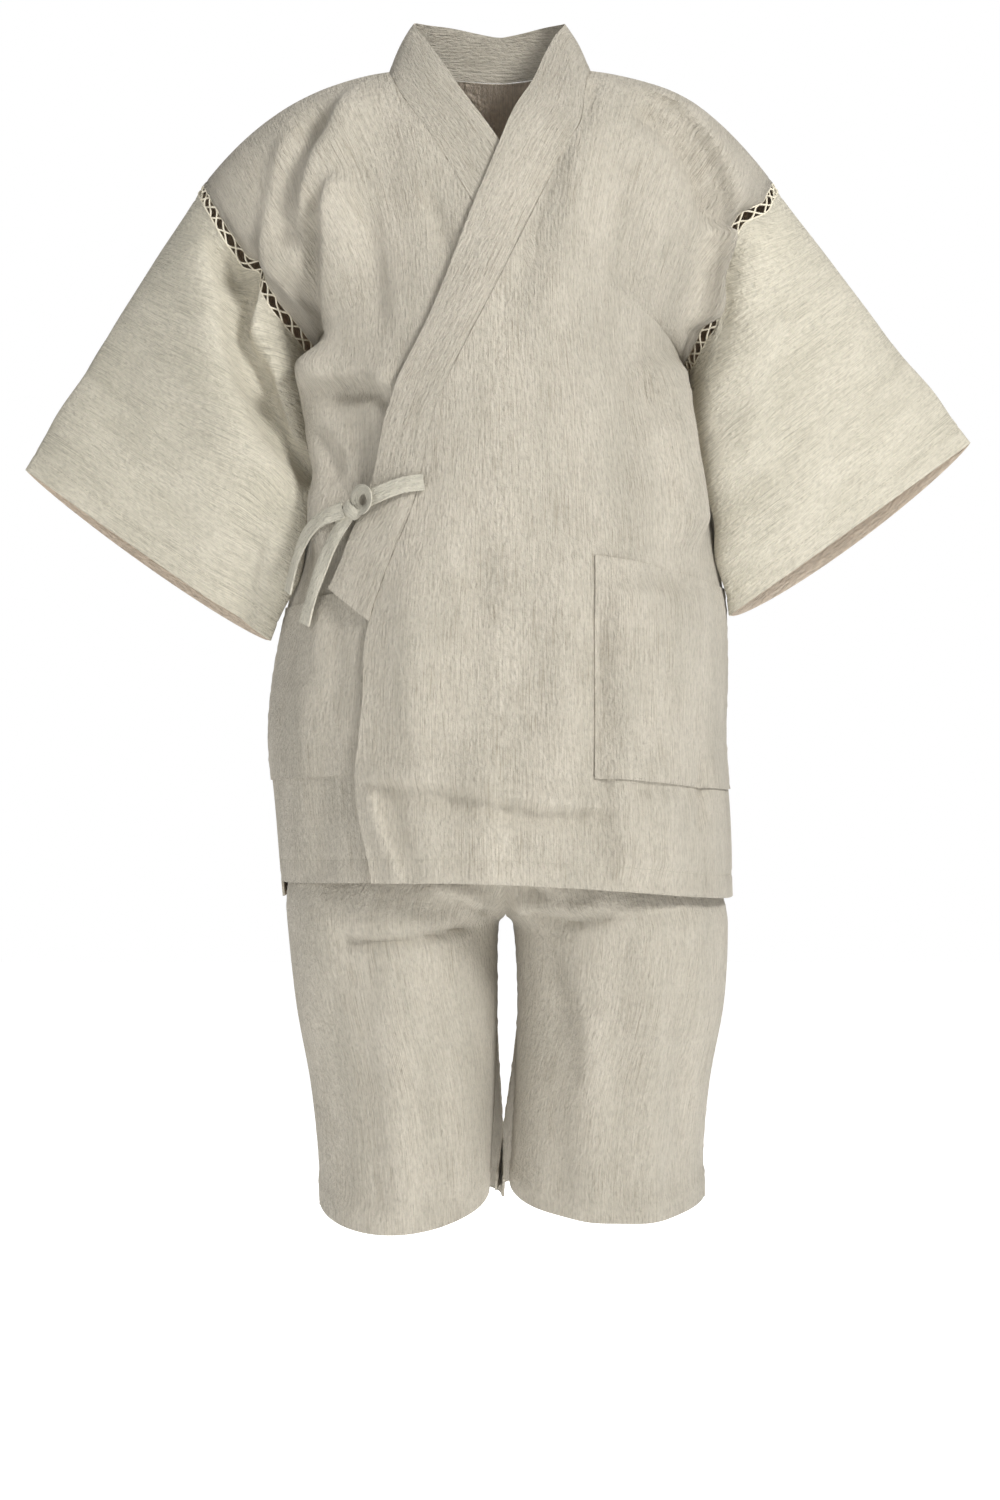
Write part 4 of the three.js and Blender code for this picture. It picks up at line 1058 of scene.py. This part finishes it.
LEG_CREASES = {
    "right": creases(
        CREASE_COLUMNS,
        (6, 7, -0.8, 0, 0.14, (-142, -799), (-72, -795), (-8, -784)),
        (9, -4, 0, 0, 0.22, (-136, -788), (-66, -784), (-10, -772)),
        (10, -9, 0, 0, 0.22, (-52, -738), (-24, -752), (4, -772)),
        (6, 6, -0.5, 0, 0.22, (-34, -752), (-14, -764), (8, -780)),
        (17, 3.5, 0.3, 0, 0.1, (-104, -800), (-110, -920), (-96, -1056)),
        (15, 3, -0.3, 0, 0.1, (-46, -810), (-46, -930), (-54, -1056)),
        (13, 3.5, 0, 0, 0.1, (-142, -820), (-138, -930), (-130, -1050)),
        (13, -3, 0, 0, 0.1, (-74, -840), (-78, -950), (-74, -1056)),
    ),
    "left": creases(
        CREASE_COLUMNS,
        (7, 7, -0.7, 0, 0.16, (24, -768), (70, -780), (124, -774)),
        (8, -5, 0, 0, 0.22, (22, -758), (60, -768), (112, -760)),
        (6, 8, -0.6, 0, 0.22, (22, -736), (34, -748), (56, -762)),
        (8, -8, 0, 0, 0.22, (18, -744), (28, -758), (44, -772)),
        (9, 5, 0.5, 0, 0.22, (52, -800), (76, -870), (80, -940)),
        (16, 3, 0.3, 0, 0.1, (62, -850), (60, -940), (68, -1056)),
        (17, 3.5, -0.3, 0, 0.1, (120, -790), (128, -910), (120, -1056)),
        (13, 3.5, 0, 0, 0.1, (172, -810), (174, -930), (166, -1050)),
        (14, -3, 0, 0, 0.1, (92, -850), (96, -950), (94, -1056)),
    ),
}
SHORTS_FULLNESS = 2.2
LEG_HEM_FROM = 370.0  # cloth length below which a leg's hem takes its curve
HEM_ROUND = {"right": 26.0, "left": 20.0}
BACK_CLOSE = 13.0  # how far the back layers' inner edges swing together at the hem


def shorts_point(side, face, v, share):
    """Row v of the shorts, from share 0 at the centre seam or inseam to 1 at the side seam."""
    tab = SHORTS[side]
    start = np.radians(np.clip(sample(tab, "v", "start", v), 0, 90))
    angle = mix(start, np.pi, share)
    reach = (np.cos(start) - np.cos(angle)) / (np.cos(start) + 1)
    swell = np.maximum(np.sin(angle), 0) ** (2 / SHORTS_FULLNESS)
    y = sample(tab, "v", face, v) * swell + SEAM / 2
    in_x = sample(tab, "v", "in_x", v) + SIGN[side] * SEAM / 2
    x = mix(in_x, sample(tab, "v", "out_x", v), reach)
    z = mix(sample(tab, "v", "in_z", v), sample(tab, "v", "out_z", v), smooth(reach))
    low = smooth((v - LEG_HEM_FROM) / (tab["v"][-1] - LEG_HEM_FROM))
    if face == "front":
        z = z - low * HEM_ROUND[side] * (swell - 0.5)
    else:
        x = x - SIGN[side] * low * BACK_CLOSE * smooth(1 - reach / 0.4)
    return np.stack([x, -y if face == "front" else y, z], -1)


def shorts_panel(side, face, rows=120, columns=56):
    length = SHORTS[side]["v"][-1]
    v = np.linspace(0, length, rows)[:, None]
    share = np.linspace(0, 1, columns)[None, :]
    v, share = np.broadcast_arrays(v, share)
    grid = shorts_point(side, face, v, share)
    across = arc(grid, 1)
    flip = (side == "left") == (face == "back")
    normal = grid_normals(grid) * (-1 if flip else 1)
    edge = np.minimum(across, across[:, -1:] - across)
    calm = smooth(edge / 25)
    hem = length - v
    fold = crease_field(LEG_CREASES[side], grid[..., 0], grid[..., 2])[0]
    gather = 1.6 * np.sin(across / 4.5) * smooth((60 - v) / 60)
    wave = drape(grid[..., 0], v, 51 if face == "front" else 57, 70, 400, 1.4)
    bump = fold * calm + wave * calm + gather * calm
    bump = bump + seam_groove(hem - HEM_TURN) + pucker(across, hem - HEM_TURN - 1, 53, 8, 0.35)
    bump = bump + seam_groove(edge, 0.5) + pucker(v, edge, 59, 6, 0.35, 15)
    grid = grid + normal * bump[..., None]
    uv = np.stack([SIGN[side] * (across - across[:, -1:]) + (0 if face == "front" else 1200), v], -1)
    inside = CLOTH / 2 + TURNED * smooth((FOLDED - hem) / 3)
    sew("Stitches_shorts", iso(grid, normal, hem, HEM_TURN))
    return shell(f"Shorts_{face}_{side}", grid, uv, CLOTH / 2, inside, flip=flip, material=cotton_main)


def waistband(columns=240, rows=12):
    share = np.arange(columns) / columns * 4
    quarter = np.floor(share).astype(int)
    local = np.where(quarter % 2 == 0, 1 - (share - quarter), share - quarter)
    base = np.zeros((columns, 3))
    round_waist = ("left", "front"), ("right", "front"), ("right", "back"), ("left", "back")
    for index, (side, face) in enumerate(round_waist):
        chosen = quarter == index
        base[chosen] = shorts_point(side, face, np.zeros(chosen.sum()), local[chosen])
    up = np.linspace(0, 1, rows)[::-1, None]
    grid = np.repeat(base[None], rows, 0)
    grid[..., 2] += 1 + WAIST_HEIGHT * up
    middle = np.array([16.0, 0.0, 0.0])
    out = grid - middle
    out[..., 2] = 0
    out = unit(out)
    turns = np.arange(columns) * 2 * np.pi * WAIST_GATHERS / columns
    gather = 1.8 * np.sin(turns)[None, :] * (0.6 + 0.4 * np.cos(up * 6.28 * 1.5))
    grid = grid + out * gather[..., None]
    around = arc(np.concatenate([grid, grid[:, :1]], 1), 1)
    uv = np.stack([np.broadcast_to(WAIST_HEIGHT * up, around.shape), around], -1)
    return shell("Waistband", grid, uv, 0.9, 0.9, True, material=cotton_main)


# ---------------------------------------------------------------- assembly


def ready(obj, *nodes, slot="cloth"):
    """The object stands for these CAD nodes."""
    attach(obj, "root")
    if nodes:
        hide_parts(*nodes)
    return obj


for side in SIGN:
    body = ready(body_panel(side), f"body_{side}")
    arm = ready(sleeve(side), f"sleeve_{side}")
    ready(lacing(side), f"lacing_{side}", slot="cord")
    patch = ready(pocket(side), f"pocket_{side}")
    for face in ("front", "back"):
        leg = ready(shorts_panel(side, face), f"shorts_{face}_{side}")
band = ready(waistband(), "waistband")
neckband = ready(collar(), "collar")
for name, route in TIES.items():
    strip = ready(ribbon(name.capitalize(), route), name)
for name, parts in SEWN.items():
    ready(joined(name, parts, thread_finish))
rings = [ready(ring) for ring in knot()]
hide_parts("tie_knot")

# ---------------------------------------------------------------- studio


def studio():
    """White backdrop, a pale floor below the garment, soft lights and the camera."""
    world = bpy.data.worlds.new("Studio")
    bpy.context.scene.world = world
    world.use_nodes = True
    back = world.node_tree.nodes["Background"]
    back.inputs["Color"].default_value = (1.0, 1.0, 1.0, 1.0)
    ray = world.node_tree.nodes.new("ShaderNodeLightPath")
    level = world.node_tree.nodes.new("ShaderNodeMapRange")
    level.inputs["To Min"].default_value = 0.24
    level.inputs["To Max"].default_value = 1.0
    world.node_tree.links.new(ray.outputs["Is Camera Ray"], level.inputs["Value"])
    world.node_tree.links.new(level.outputs["Result"], back.inputs["Strength"])
    bpy.context.scene.view_settings.view_transform = "Standard"
    floor = mesh_object(
        "Floor",
        np.array([(-6000, -6000, -1500), (6000, -6000, -1500), (6000, 6000, -1500), (-6000, 6000, -1500)]),
        np.array([[0, 1, 2, 3]]), None, plain("White floor", (0.9, 0.9, 0.9), 0.9, 0.85),
    )
    for name, place, size, power in (
        ("Key", (1700, -2000, 1150), 0.7, 73), ("Fill", (-1500, -2500, 300), 1.6, 16),
        ("Top", (100, -300, 2300), 1.2, 8), ("Back", (-700, 2700, 300), 1.6, 34),
    ):
        light = bpy.data.lights.new(name, "AREA")
        light.energy = power
        light.size = size
        lamp = bpy.data.objects.new(name, light)
        lamp.location = Vector(place) * MM
        aim = Vector((11, 0, -500)) * MM - lamp.location
        lamp.rotation_euler = aim.to_track_quat("-Z", "Y").to_euler()
        bpy.context.scene.collection.objects.link(lamp)
    lens = bpy.data.cameras.new("Camera")
    lens.lens = 67.1
    lens.sensor_width = 36
    lens.sensor_fit = "AUTO"
    camera = bpy.data.objects.new("Camera", lens)
    camera.location = Vector((11, -2600, -535)) * MM
    aim = Vector((11, 0, -628)) * MM - camera.location
    camera.rotation_euler = aim.to_track_quat("-Z", "Y").to_euler()
    bpy.context.scene.collection.objects.link(camera)
    bpy.context.scene.camera = camera


studio()
bpy.context.view_layer.update()
